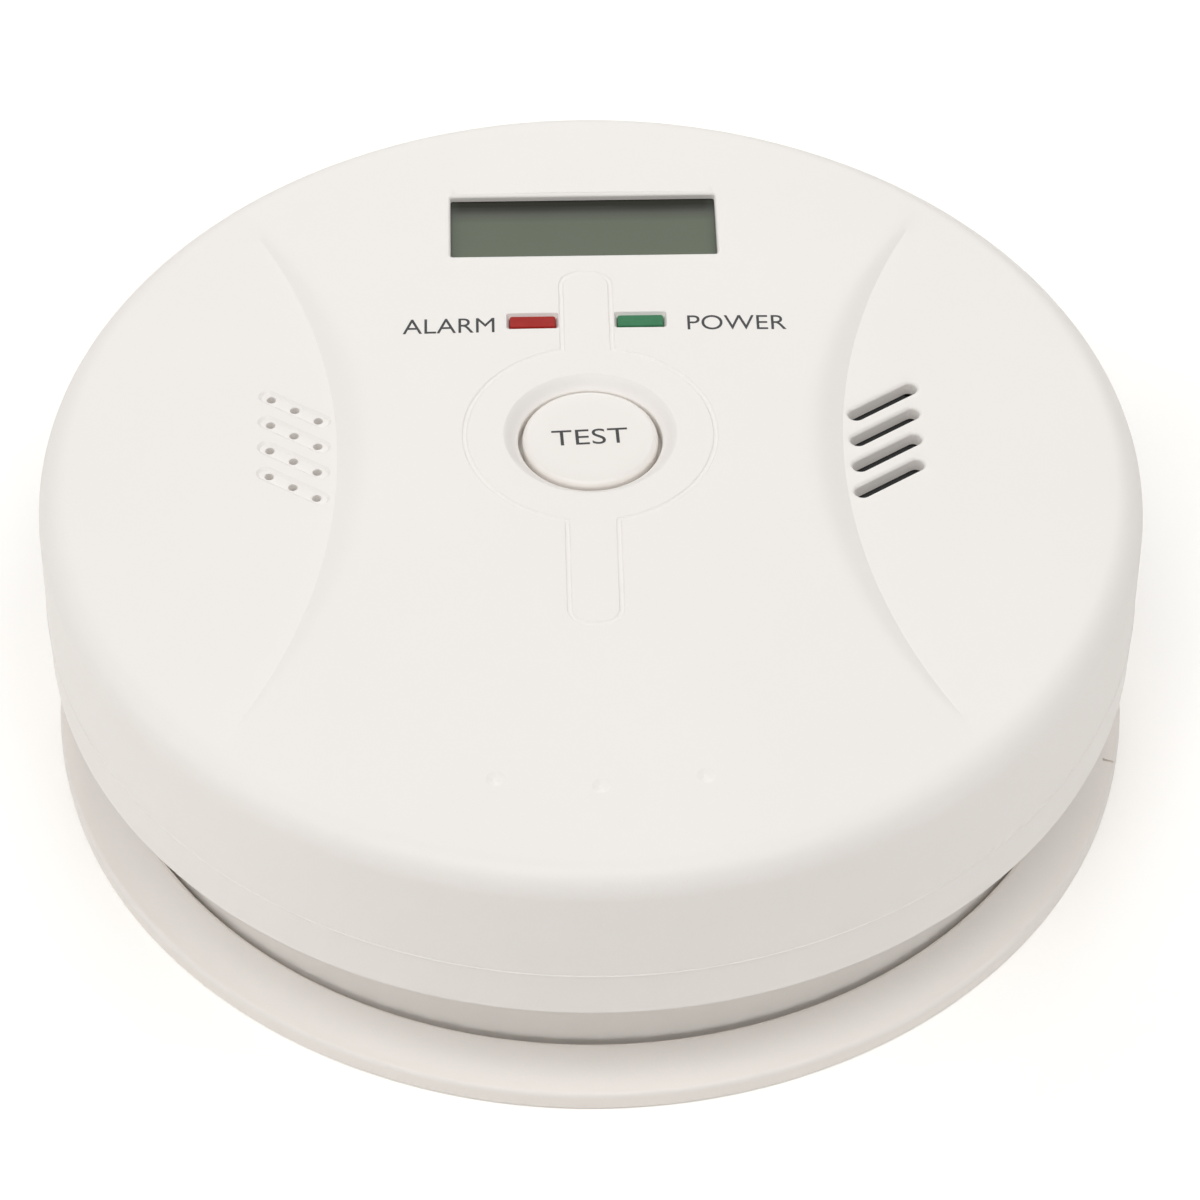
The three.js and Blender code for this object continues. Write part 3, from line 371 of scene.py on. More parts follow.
def lobe_lines(offsets):
    """Open lines along both side steps, at distances from the step's foot."""
    lines = []
    for side in (-1, 1):
        for offset in offsets:
            r = LOBE_RADIUS + offset
            points = []
            for i in range(-60, 61):
                a = math.radians(40) * i / 60
                x = side * (LOBE_FOOT + LOBE_RADIUS - r * math.cos(a))
                y = LOBE_Y + r * math.sin(a)
                if math.hypot(x, y) < DOME_RADIUS - 0.3:
                    points.append((x, y))
            lines.append(points)
    return lines


def grid_points(pitch, radius):
    """A triangular grid of points inside a circle."""
    points = []
    rows = int(radius / (pitch * 0.866)) + 1
    for j in range(-rows, rows + 1):
        y = j * pitch * 0.866
        shift = pitch / 2 if j % 2 else 0.0
        count = int(radius / pitch) + 1
        for i in range(-count, count + 1):
            x = i * pitch + shift
            if math.hypot(x, y) < radius:
                points.append((x, y))
    return points


def circle(radius, steps=ROUND_STEPS):
    turns = [2 * math.pi * i / steps for i in range(steps)]
    return [(radius * math.cos(a), radius * math.sin(a)) for a in turns]


def sheet_with_holes(bm, height, outer, holes, relief=(), lines=(), fill=(), clearance=0.5):
    """Adds a triangulated sheet with open holes. Returns its outer loop and its hole loops."""
    points, edges, loops = [], [], []

    def add_line(line, closed):
        first = len(points)
        points.extend(line)
        count = len(line)
        edges.extend((first + i, first + i + 1) for i in range(count - 1))
        if closed:
            edges.append((first + count - 1, first))
        return list(range(first, first + count))

    for loop in [outer, *holes]:
        loops.append(add_line(loop, True))
    for loop in relief:
        add_line(loop, True)
    for line in lines:
        add_line(line, False)
    placed = np.array(points)
    for p in fill:
        near = np.abs(placed[:, 0] - p[0]) + np.abs(placed[:, 1] - p[1])
        if near.min() > clearance:
            points.append(p)
    plan, _, faces, sources, _, owners = delaunay_2d_cdt(
        [Vector(p) for p in points], edges, loops, 0, 1e-6, True
    )
    xs = np.array([v.x for v in plan])
    ys = np.array([v.y for v in plan])
    verts = [bm.verts.new(Vector(p) * MM) for p in zip(xs, ys, height(xs, ys))]
    for face, inside in zip(faces, owners):
        if 0 in inside and len(inside) == 1:
            bm.faces.new([verts[i] for i in face])
    place = {given: i for i, given_here in enumerate(sources) for given in given_here}
    return [[verts[place[i]] for i in loop] for loop in loops]


def bridge(bm, one, other):
    """A band of faces between two loops with the same number of points."""
    count = len(one)
    for i in range(count):
        j = (i + 1) % count
        bm.faces.new((one[i], one[j], other[j], other[i]))


def loop_at(bm, points, z):
    return [bm.verts.new(Vector((x, y, z)) * MM) for x, y in points]


def turned_wall(bm, start, profile, end):
    """Bands from one loop to another through rings of (radius, height)."""
    previous = start
    for radius, z in profile:
        ring = loop_at(bm, circle(radius, len(start)), z)
        bridge(bm, previous, ring)
        previous = ring
    bridge(bm, previous, end)


def rounded(centre_r, centre_z, radius, start, end, steps):
    """Points of a rounded corner in a turned profile, angles in degrees from straight out."""
    turns = [math.radians(start + (end - start) * i / steps) for i in range(steps + 1)]
    return [(centre_r + radius * math.cos(a), centre_z + radius * math.sin(a)) for a in turns]


def tube(bm, x, y, inner, outer, z0, z1, steps=32):
    """A free-standing ring wall; a plain post when it has no inner radius."""
    spans = [(outer, z0), (outer, z1)]
    if inner > 0:
        spans += [(inner, z1), (inner, z0)]
    rings = [
        loop_at(bm, [(x + px, y + py) for px, py in circle(radius, steps)], z)
        for radius, z in spans
    ]
    for one, other in zip(rings, rings[1:]):
        bridge(bm, one, other)
    if inner > 0:
        bridge(bm, rings[-1], rings[0])
    else:
        bm.faces.new(rings[0])
        bm.faces.new(rings[1])


def new_object(name, bm, smooth_angle=None):
    """A mesh object at the origin. Edges sharper than the angle stay crisp."""
    bmesh.ops.recalc_face_normals(bm, faces=bm.faces)
    mesh = bpy.data.meshes.new(name)
    bm.to_mesh(mesh)
    bm.free()
    thing = in_scene(name, mesh)
    if smooth_angle is not None:
        smooth(thing, smooth_angle)
    return thing


def smooth(thing, angle):
    mesh = thing.data
    mesh.shade_smooth()
    bm = bmesh.new()
    bm.from_mesh(mesh)
    limit = math.radians(angle)
    for edge in bm.edges:
        edge.smooth = len(edge.link_faces) == 2 and edge.calc_face_angle(0) < limit
    bm.to_mesh(mesh)
    bm.free()
    weigh = thing.modifiers.new("even shading", "WEIGHTED_NORMAL")
    weigh.keep_sharp = True
    weigh.weight = 80


# ---------------------------------------------------------------- front cover


def front_cover():
    bm = bmesh.new()
    relief = []
    for outline, rounding, _ in openings:
        relief += [outline.loop(rounding * share) for share in (0.1, 0.3, 0.6, 1)]
    dish_shares = (0.2, 0.4, 0.6, 0.75, 0.85, 0.93, 1, 1.15)
    relief += [button_hole.loop(DISH_MARGIN * share) for share in dish_shares]
    for share in (GROOVE_FLAT, (GROOVE_FLAT + GROOVE_HALF) / 2, GROOVE_HALF):
        relief += [ring_and_tabs(share), ring_and_tabs(-share)]
    relief += [row.loop(grow) for row in sounder_rows for grow in (-0.15, 0, 0.15)]
    relief += [mark.loop(grow) for mark in blank_marks for grow in (-0.5, -0.2, 0.1)]
    inner_edge = COVER_RADIUS - SIDE_WALL - 1.2
    outer, *tops = sheet_with_holes(
        bm,
        opening_height,
        circle(DOME_RADIUS),
        [outline.loop() for outline, _, _ in openings],
        relief,
        lobe_lines((0, 0.5, 1, 1.4, 1.8, 2.2, 2.6, 3.0, 3.5, 4.2)),
        grid_points(1.3, DOME_RADIUS - 0.8),
        0.7,
    )
    inner, *bottoms = sheet_with_holes(
        bm,
        underside_height,
        circle(inner_edge),
        [outline.loop(-taper) for outline, _, taper in openings],
        [region.loop(grow) for region in (dish_wall, pane_pocket) for grow in (0, 0.05)],
        lobe_lines((0, 1.2, 2.4)),
        fill=grid_points(3.5, inner_edge - 2),
        clearance=1.5,
    )
    for (outline, rounding, taper), top, bottom in zip(openings, tops, bottoms):
        if taper:
            middle_ring = []
            for above, below in zip(top, bottom):
                z = above.co.z - 0.5 * MM
                middle_ring.append(bm.verts.new((below.co.x, below.co.y, z)))
            bridge(bm, top, middle_ring)
            top = middle_ring
        bridge(bm, top, bottom)
    wall = COVER_RADIUS - MOULD_LINE_PROUD
    rim = COVER_RADIUS - RIM_DRAFT
    inside = COVER_RADIUS - SIDE_WALL
    edge = EDGE_ROUND - MOULD_LINE_PROUD
    profile = rounded(wall - edge, EDGE_Z - EDGE_ROUND, EDGE_ROUND, 82.5, 0, 11)
    profile = [(wall - edge + (r - wall + edge) * edge / EDGE_ROUND, z) for r, z in profile]
    profile += [
        (wall, 27),
        (wall, 23),
        (wall, MOULD_LINE_Z + 0.12),
        (COVER_RADIUS, MOULD_LINE_Z + 0.03),
        (COVER_RADIUS, MOULD_LINE_Z - 0.03),
        (wall, MOULD_LINE_Z - 0.12),
        (rim, RIM_Z + 0.15),
        (rim - 0.15, RIM_Z),
        (inside + 0.15, RIM_Z),
        (inside, RIM_Z + 0.15),
        (inside, EDGE_Z - FACE_WALL - 1.2),
        (inside - 0.4, EDGE_Z - FACE_WALL - 0.4),
    ]
    turned_wall(bm, outer, profile, inner)
    cover_posts(bm)
    return new_object("cover_shell", bm, 16)


def cover_posts(bm):
    """Screw posts and the ring walls that guide sound, gas and the button."""
    root = EDGE_Z - FACE_WALL + 0.5
    low, _ = corners("circuit_board")
    for i in range(4):
        post = middle(f"housing_screw_{i + 1}")
        tube(bm, post.x, post.y, 1.35, 3, housing_high_z() + 0.3, root)
        post = middle(f"board_screw_{i + 1}")
        tube(bm, post.x, post.y, 1.1, 2.6, low.z + 1.9, root)
    for node in ("sounder_case", "gas_sensor_can"):
        low, high = corners(node)
        inner = (high.x - low.x) / 2 + 0.3
        centre = (low + high) / 2
        tube(bm, centre.x, centre.y, inner, inner + 1, root - 2.9, root, 48)
    inner = (button_high.x - button_low.x) / 2 + 0.3
    foot, root = DISH_UNDERSIDE_Z - COLLAR_HEIGHT, DISH_UNDERSIDE_Z + 0.4
    tube(bm, 0, FACE_Y, inner, inner + 1, foot, root, 48)


def housing_high_z():
    """Top of the housing's shoulder, where the cover's posts land."""
    return corners("housing_screw_1")[0].z + 4.65


# ---------------------------------------------------------------- finishes


class Finish:
    """Builds one procedural material, a node at a time."""

    def __init__(self, name, **constants):
        self.material = bpy.data.materials.new(name)
        self.material.use_nodes = True
        self.tree = self.material.node_tree
        self.shader = self.tree.nodes["Principled BSDF"]
        for socket, value in constants.items():
            self.shader.inputs[socket.replace("_", " ")].default_value = value
        place = self.tree.nodes.new("ShaderNodeTexCoord")
        self.place = place.outputs["Object"]

    def node(self, kind, **settings):
        made = self.tree.nodes.new("ShaderNode" + kind)
        for key, value in settings.items():
            setattr(made, key, value)
        return made

    def link(self, output, target):
        self.tree.links.new(output, target)

    def noise(self, size, detail=2.0, roughness=0.5, stretch=(1, 1, 1)):
        """Soft random pattern whose patches are about this many millimetres across."""
        mapping = self.node("Mapping")
        mapping.inputs["Scale"].default_value = Vector(stretch) / (size * MM)
        self.link(self.place, mapping.inputs["Vector"])
        noise = self.node("TexNoise")
        noise.inputs["Scale"].default_value = 1.0
        noise.inputs["Detail"].default_value = detail
        noise.inputs["Roughness"].default_value = roughness
        self.link(mapping.outputs["Vector"], noise.inputs["Vector"])
        return noise.outputs["Fac"]

    def ramp(self, factor, stops):
        """Colours or greys along a factor, as (place, colour) pairs."""
        ramp = self.node("ValToRGB")
        elements = ramp.color_ramp.elements
        while len(elements) < len(stops):
            elements.new(0.5)
        for element, (place, colour) in zip(elements, stops):
            element.position = place
            element.color = (*colour, 1) if len(colour) == 3 else colour
        self.link(factor, ramp.inputs["Fac"])
        return ramp.outputs["Color"]

    def spread(self, factor, low, high):
        """A pattern stretched to run from one value to another."""
        spread = self.node("MapRange")
        spread.inputs["From Min"].default_value = 0.3
        spread.inputs["From Max"].default_value = 0.7
        spread.inputs["To Min"].default_value = low
        spread.inputs["To Max"].default_value = high
        self.link(factor, spread.inputs["Value"])
        return spread.outputs["Result"]

    def mix(self, factor, one, other, blend="MIX"):
        mix = self.node("Mix", data_type="RGBA", blend_type=blend)
        for socket, value in ((0, factor), (6, one), (7, other)):
            if hasattr(value, "is_linked"):
                self.link(value, mix.inputs[socket])
            else:
                mix.inputs[socket].default_value = value
        return mix.outputs[2]

    def colour(self, output):
        self.link(output, self.shader.inputs["Base Color"])

    def roughness(self, output):
        self.link(output, self.shader.inputs["Roughness"])

    def bump(self, output, height, strength=1.0):
        """Surface relief of this many millimetres."""
        bump = self.node("Bump")
        bump.inputs["Distance"].default_value = height * MM
        bump.inputs["Strength"].default_value = strength
        self.link(output, bump.inputs["Height"])
        self.link(bump.outputs["Normal"], self.shader.inputs["Normal"])


def shade(colour, share):
    """The colour made darker or paler."""
    return tuple(min(1, c * share) for c in colour)


def moulded_plastic(name, colour, roughness, grain=0.28, relief=0.012, mottling=0.006):
    """Injection-moulded plastic with a fine spark-eroded texture and faint flow marks."""
    finish = Finish(name)
    flow = finish.noise(22, 3)
    finish.colour(
        finish.ramp(flow, [(0.3, shade(colour, 1 - mottling)), (0.7, shade(colour, 1 + mottling))])
    )
    texture = finish.noise(grain, 2, 0.6)
    finish.roughness(finish.spread(texture, roughness - 0.06, roughness + 0.06))
    finish.bump(texture, relief)
    return finish.material


# ---------------------------------------------------------------- shapes by rule


def baked(thing):
    """The thing with its modifiers made part of its mesh."""
    graph = bpy.context.evaluated_depsgraph_get()
    mesh = bpy.data.meshes.new_from_object(thing.evaluated_get(graph))
    thing.modifiers.clear()
    thing.data = mesh
    mesh.name = thing.name
    return thing


class Rule:
    """A Geometry Nodes tree with named inputs that ends in real, finished geometry."""

    def __init__(self, name, **inputs):
        self.tree = bpy.data.node_groups.new(name, "GeometryNodeTree")
        face = self.tree.interface
        face.new_socket("Geometry", in_out="INPUT", socket_type="NodeSocketGeometry")
        kinds = {**inputs, "Finish": "Material"}
        self.inputs = {
            key: face.new_socket(key, in_out="INPUT", socket_type="NodeSocket" + kind).identifier
            for key, kind in kinds.items()
        }
        face.new_socket("Geometry", in_out="OUTPUT", socket_type="NodeSocketGeometry")
        self.given = self.tree.nodes.new("NodeGroupInput").outputs

    def node(self, kind, **links):
        made = self.tree.nodes.new("GeometryNode" + kind)
        for socket, output in links.items():
            self.tree.links.new(output, made.inputs[socket.replace("_", " ")])
        return made

    def finish(self, geometry):
        real = self.node("RealizeInstances", Geometry=geometry)
        painted = self.node(
            "SetMaterial", Geometry=real.outputs[0], Material=self.given["Finish"]
        )
        end = self.tree.nodes.new("NodeGroupOutput")
        self.tree.links.new(painted.outputs[0], end.inputs[0])
        return self

    def apply(self, thing, **values):
        modifier = thing.modifiers.new(self.tree.name, "NODES")
        modifier.node_group = self.tree
        for key, value in values.items():
            modifier[self.inputs[key]] = value
        return baked(thing)


def turning_rule():
    """A profile drawn as (radius, -height) swept once round the Z axis."""
    rule = Rule("turned_profile", Sides="Int")
    profile = rule.node("MeshToCurve", Mesh=rule.given["Geometry"])
    axis = rule.node("CurvePrimitiveCircle", Resolution=rule.given["Sides"])
    axis.inputs["Radius"].default_value = 1e-8
    swept = rule.node(
        "CurveToMesh", Curve=axis.outputs["Curve"], Profile_Curve=profile.outputs["Curve"]
    )
    closed = rule.node("MergeByDistance", Geometry=swept.outputs["Mesh"])
    closed.inputs["Distance"].default_value = 2e-7
    return rule.finish(closed.outputs["Geometry"])


def copying_rule():
    """A copy of one piece at every point, turned about Z by the point's own angle."""
    rule = Rule("copies_at_points", Piece="Object")
    angle = rule.tree.nodes.new("GeometryNodeInputNamedAttribute")
    angle.inputs["Name"].default_value = "turn"
    turn = rule.tree.nodes.new("ShaderNodeCombineXYZ")
    rule.tree.links.new(angle.outputs["Attribute"], turn.inputs["Z"])
    piece = rule.node("ObjectInfo", Object=rule.given["Piece"])
    piece.inputs["As Instance"].default_value = True
    copies = rule.node(
        "InstanceOnPoints",
        Points=rule.given["Geometry"],
        Instance=piece.outputs["Geometry"],
        Rotation=turn.outputs["Vector"],
    )
    return rule.finish(copies.outputs["Instances"])


turning = turning_rule()
copying = copying_rule()


def turned(name, profile, finish, x=0.0, y=0.0, sides=96, smooth_angle=35):
    """A solid turned from a profile of (radius, height) points, bottom centre to top centre."""
    mesh = bpy.data.meshes.new(name)
    line = [(i, i + 1) for i in range(len(profile) - 1)]
    mesh.from_pydata([Vector((r, -z, 0)) * MM for r, z in profile], line, [])
    thing = in_scene(name, mesh)
    turning.apply(thing, Sides=sides, Finish=finish)
    bm = bmesh.new()
    bm.from_mesh(thing.data)
    bmesh.ops.translate(bm, verts=bm.verts, vec=Vector((x, y, 0)) * MM)
    bmesh.ops.recalc_face_normals(bm, faces=bm.faces)
    bm.to_mesh(thing.data)
    bm.free()
    smooth(thing, smooth_angle)
    return thing


def copies(name, piece, places, finish):
    """One object holding a copy of the piece at every (x, y, z, angle)."""
    mesh = bpy.data.meshes.new(name)
    mesh.from_pydata([Vector(place[:3]) * MM for place in places], [], [])
    turns = mesh.attributes.new("turn", "FLOAT", "POINT")
    turns.data.foreach_set("value", [place[3] for place in places])
    thing = in_scene(name, mesh)
    copying.apply(thing, Piece=piece, Finish=finish)
    bpy.data.objects.remove(piece)
    return thing


def stacked(name, outline, levels, smooth_angle=35):
    """A solid on one outline, grown or shrunk at each (growth, height)."""
    bm = bmesh.new()
    rings = [loop_at(bm, outline.loop(grow), z) for grow, z in levels]
    for one, other in zip(rings, rings[1:]):
        bridge(bm, one, other)
    bm.faces.new(rings[0])
    bm.faces.new(rings[-1])
    return new_object(name, bm, smooth_angle)


def refined(node, edge, finish):
    """A clean copy of a node: its flat faces whole again and its edges broken."""
    bm = bmesh.new()
    bm.from_mesh(frame["nodes"][node].data)
    bmesh.ops.remove_doubles(bm, verts=bm.verts, dist=0.002 * MM)
    bmesh.ops.dissolve_limit(
        bm, angle_limit=math.radians(1), verts=bm.verts, edges=bm.edges, delimit={"NORMAL"}
    )
    thing = new_object(node + "_fine", bm, 35)
    thing.data.materials.append(finish)
    bevel = thing.modifiers.new("broken edges", "BEVEL")
    bevel.width = edge * MM
    bevel.segments = 2
    bevel.limit_method = "ANGLE"
    bevel.angle_limit = math.radians(50)
    bevel.harden_normals = True
    thing.modifiers.move(1, 0)
    baked(thing)
    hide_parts(node)
    return thing


# ---------------------------------------------------------------- mounting plate

PLATE_RADIUS = plate_high.x
PLATE_FLOOR = 2.0
LIP_TOP = 2.15
PLATE_WELL = NECK_RADIUS + 0.35
KEYHOLE_X = 30.0
KEYHOLE_HEAD = 4.3
KEYHOLE_NECK = 2.15
KEYHOLE_RUN = 9.0
EDGE_BREAK = 0.2
INDEX_ANGLE = math.radians(-13)
HOOK_INNER = NECK_RADIUS - 7.6
HOOK_POST = 1.6
HOOK_LIP = 2.5
HOOK_THICK = 1.5
HOOK_HALF_ANGLE = math.radians(4)


class Keyhole:
    """A round hole for a screw head, with a narrower neck to slide along."""

    def __init__(self, side):
        self.x = side * KEYHOLE_X

    def loop(self, grow=0.0, steps=28):
        head, neck = KEYHOLE_HEAD + grow, KEYHOLE_NECK + grow
        meet = math.asin(neck / head)
        low, high = -KEYHOLE_RUN / 2, KEYHOLE_RUN / 2
        arcs = [
            (low, head, QUARTER + meet, 5 * QUARTER - meet, 2 * steps),
            (high, neck, 0, 2 * QUARTER, steps),
        ]
        points = []
        for y, radius, start, end, count in arcs:
            for i in range(count + 1):
                a = start + (end - start) * i / count
                points.append((self.x + radius * math.cos(a), y + radius * math.sin(a)))
        return points


def level(z):
    return lambda px, py: np.full(px.shape, z)


def mounting_plate(finish):
    bm = bmesh.new()
    keyholes = [Keyhole(-1), Keyhole(1)]
    wide = [hole.loop(EDGE_BREAK) for hole in keyholes]
    floor_fill = grid_points(6, PLATE_WELL - 3)
    outer, *tops = sheet_with_holes(
        bm, level(PLATE_FLOOR), circle(PLATE_WELL), wide, fill=floor_fill, clearance=3
    )
    inner, *bottoms = sheet_with_holes(
        bm, level(0.0), circle(PLATE_WELL + 0.8), wide, fill=floor_fill, clearance=3
    )
    for hole, top, bottom in zip(keyholes, tops, bottoms):
        previous = top
        for z in (PLATE_FLOOR - EDGE_BREAK, EDGE_BREAK):
            ring = loop_at(bm, hole.loop(), z)
            bridge(bm, previous, ring)
            previous = ring
        bridge(bm, previous, bottom)
    turned_wall(bm, outer, flange_profile(), inner)
    plate = new_object("mounting_plate_fine", bm, 30)
    plate.data.materials.append(finish)
    cut_index_tick(plate)
    return plate


def flange_profile():
    """The plate's skirt: up beside the neck, down a hollow slope to a rounded lip, and under."""
    crown = PLATE_WELL + 0.3
    profile = [(PLATE_WELL, PLATE_FLOOR + 0.3), (PLATE_WELL, PLATE_CROWN_Z - 0.3)]
    profile += rounded(crown, PLATE_CROWN_Z - 0.3, 0.3, 150, 75, 3)
    slope_start, slope_end = crown + 0.25, PLATE_RADIUS - 0.55
    for i in range(1, 13):
        t = i / 12
        fall = (PLATE_CROWN_Z - 0.1 - LIP_TOP) * (1 - (1 - t) ** 1.6)
        profile.append((slope_start + (slope_end - slope_start) * t, PLATE_CROWN_Z - 0.1 - fall))
    profile += rounded(PLATE_RADIUS - 0.5, LIP_TOP - 0.5, 0.5, 80, 0, 6)
    profile += [
        (PLATE_RADIUS, 0.9),
        (PLATE_RADIUS - 0.05, 0.25),
        (PLATE_RADIUS - 0.25, 0),
        (PLATE_RADIUS - 1.3, 0),
        (PLATE_RADIUS - 1.5, 0.2),
        (PLATE_RADIUS - 1.6, 0.9),
        (PLATE_WELL + 1.2, 1.6),
        (PLATE_WELL + 0.95, 1.4),
        (PLATE_WELL + 0.9, 0.2),
    ]
    return profile


def cut_index_tick(plate):
    """A short shallow tick across the lip, which lines up with the alarm when it is locked."""
    bm = bmesh.new()
    bmesh.ops.create_cube(bm, size=MM)
    bmesh.ops.scale(bm, verts=bm.verts, vec=(1.1, 0.35, 1))
    bmesh.ops.translate(
        bm, verts=bm.verts, vec=Vector((PLATE_RADIUS - 0.75, 0, LIP_TOP + 0.25)) * MM
    )
    bmesh.ops.rotate(bm, verts=bm.verts, matrix=Matrix.Rotation(INDEX_ANGLE, 3, "Z"))
    cutter = new_object("index_cutter", bm)
    cut = plate.modifiers.new("index tick", "BOOLEAN")
    cut.object = cutter
    cut.operation = "DIFFERENCE"
    cut.solver = "EXACT"
    plate.modifiers.move(1, 0)
    baked(plate)
    bpy.data.objects.remove(cutter)


def sector(bm, inner, outer, half_angle, z0, z1, steps=6):
    """A closed arc-shaped block."""
    corners_there = [(inner, z0), (outer, z0), (outer, z1), (inner, z1)]
    slices = []
    for i in range(steps + 1):
        a = half_angle * (2 * i / steps - 1)
        slices.append(
            [
                bm.verts.new(Vector((r * math.cos(a), r * math.sin(a), z)) * MM)
                for r, z in corners_there
            ]
        )
    for one, other in zip(slices, slices[1:]):
        bridge(bm, one, other)
    bm.faces.new(slices[0])
    bm.faces.new(slices[-1])


def plate_hooks(finish):
    """Four hooks on the plate's floor that reach over the housing's back."""
    lip_z = housing_low.z + 1.8 + 0.3
    bm = bmesh.new()
    sector(bm, HOOK_INNER, HOOK_INNER + HOOK_POST, HOOK_HALF_ANGLE, PLATE_FLOOR - 0.4, lip_z + 0.2)
    sector(
        bm,
        HOOK_INNER,
        HOOK_INNER + HOOK_POST + HOOK_LIP,
        HOOK_HALF_ANGLE,
        lip_z,
        lip_z + HOOK_THICK,
    )
    hook = new_object("hook", bm, 35)
    bevel = hook.modifiers.new("broken edges", "BEVEL")
    bevel.width = 0.2 * MM
    bevel.segments = 2
    hook.modifiers.move(1, 0)
    baked(hook)
    places = [(0, 0, 0, i * QUARTER) for i in range(4)]
    return copies("plate_hooks", hook, places, finish)


# ---------------------------------------------------------------- button, lamps and display

CAP_RADIUS = BUTTON_HOLE - 0.4
CAP_EDGE = 0.65
CAP_LIP = 1.1
CAP_WALL = 1.0
TEST_TURN = math.radians(2.8)  # the printed word sits a little turned on the cap
LETTER_THINNING = -0.004
PRINT_PROUD = 0.025


def button_cap(finish):
    top = button_high.z
    stem_end = corners("switch_plunger")[1].z + 0.05
    lip_top = DISH_UNDERSIDE_Z - 0.3
    lip_z = lip_top - 0.8
    profile = [
        (0, stem_end),
        (1.9, stem_end),
        (2, stem_end + 0.1),
        (2, lip_z + 0.5),
        (CAP_RADIUS - CAP_WALL, lip_z + 0.5),
        (CAP_RADIUS - CAP_WALL, lip_z + 0.1),
        (CAP_RADIUS - CAP_WALL + 0.1, lip_z),
        (BUTTON_HOLE + CAP_LIP - 0.1, lip_z),
        (BUTTON_HOLE + CAP_LIP, lip_z + 0.1),
        (BUTTON_HOLE + CAP_LIP, lip_top - 0.1),
        (BUTTON_HOLE + CAP_LIP - 0.1, lip_top),
        (CAP_RADIUS, lip_top),
        *rounded(CAP_RADIUS - CAP_EDGE, top - CAP_EDGE, CAP_EDGE, 0, 88, 8),
        (4.5, top),
        (2.5, top),
        (0, top),
    ]
    return turned("test_button_fine", profile, finish, 0, FACE_Y, 128, 40)


def lamp_lens(node, finish):
    low, high = corners(node)
    outline = Pill(
        (low.x + high.x) / 2, (low.y + high.y) / 2, high.x - low.x, high.y - low.y, corner=0.4,
        steps=4,
    )
    levels = [(-0.1, low.z), (0, low.z + 0.1), (0, high.z - 2.5), (-0.15, high.z - 2.2)]
    levels += [(-0.15, high.z - 0.12), (-0.18, high.z - 0.04), (-0.26, high.z)]
    lens = stacked(node + "_lens", outline, levels)
    for v in lens.data.vertices:
        if v.co.z > (high.z - 1) * MM:
            v.co.z += LENS_RISE * MM - LENS_TILT * (v.co.y - low.y * MM)
    lens.data.materials.append(finish)
    return lens


def display_pane(finish):
    low, high = glass_low, glass_high
    outline = Pill(0, (low.y + high.y) / 2, high.x - low.x, high.y - low.y, corner=0.4, steps=4)
    levels = [(-0.15, low.z), (0, low.z + 0.15), (0, PANE_Z - 0.15), (-0.15, PANE_Z)]
    pane = stacked("display_pane", outline, levels)
    pane.data.materials.append(finish)
    return pane


def lettering(name, text, size, width, centre, angle, height, finish):
    """Plain printed capitals laid on the surface, a fortieth of a millimetre proud."""
    drawn = bpy.data.curves.new(name, "FONT")
    drawn.body = text
    drawn.align_x = "CENTER"
    drawn.align_y = "CENTER"
    drawn.resolution_u = 6
    drawn.extrude = 0.5
    drawn.offset = LETTER_THINNING
    holder = in_scene(name, drawn)
    graph = bpy.context.evaluated_depsgraph_get()
    mesh = bpy.data.meshes.new_from_object(holder.evaluated_get(graph))
    bpy.data.objects.remove(holder)
    xs = [v.co.x for v in mesh.vertices]
    ys = [v.co.y for v in mesh.vertices]
    mid_x, mid_y = (min(xs) + max(xs)) / 2, (min(ys) + max(ys)) / 2
    scale_x = width / (max(xs) - min(xs))
    scale_y = size / (max(ys) - min(ys))
    c, s = math.cos(angle), math.sin(angle)
    for v in mesh.vertices:
        x, y = (v.co.x - mid_x) * scale_x, (v.co.y - mid_y) * scale_y
        px, py = centre[0] + x * c - y * s, centre[1] + x * s + y * c
        z = height(px, py) + (PRINT_PROUD if v.co.z > 0 else -PRINT_PROUD)
        v.co = Vector((px, py, z)) * MM
    bm = bmesh.new()
    bm.from_mesh(mesh)
    bmesh.ops.remove_doubles(bm, verts=bm.verts, dist=1e-7)
    thing = new_object(name, bm)
    thing.data.materials.clear()
    thing.data.materials.append(finish)
    return thing


def cap_top_height(x, y):
    return button_high.z - 0.0001


def smooth_face_height(x, y):
    return EDGE_Z + DOME_RISE * (1 - (math.hypot(x, y) / DOME_RADIUS) ** 2)


# ---------------------------------------------------------------- camera, light and floor

WORLD_GLOW = 0.11
PAPER_GLOW = 0.13
PAPER_SHADES = [(0.3, (0.95, 0.93, 0.9)), (0.7, (0.97, 0.95, 0.92))]
SOFTBOX_SIZE = 0.7
SOFTBOX_COLOUR = (0.965, 0.975, 0.985)
SOFTBOX_DISTANCE = 1.1
SOFT_LIGHTS = [  # name, azimuth, elevation, watts
    ("behind", 180, 26, 3.4),
    ("front_left_high", -45, 62, 2.8),
    ("front_high", 0, 68, 2.95),
    ("front_right_high", 45, 60, 1.85),
    ("left_low", -90, 30, 2.8),
    ("right_low", 90, 32, 1.05),
    ("right_high", 90, 60, 1.3),
    ("overhead", 0, 88, 0.6),
]


def direction(azimuth, elevation):
    """Unit vector towards a place; azimuth runs from the front towards +X."""
    level_part = math.cos(elevation)
    return Vector(
        (math.sin(azimuth) * level_part, -math.cos(azimuth) * level_part, math.sin(elevation))
    )


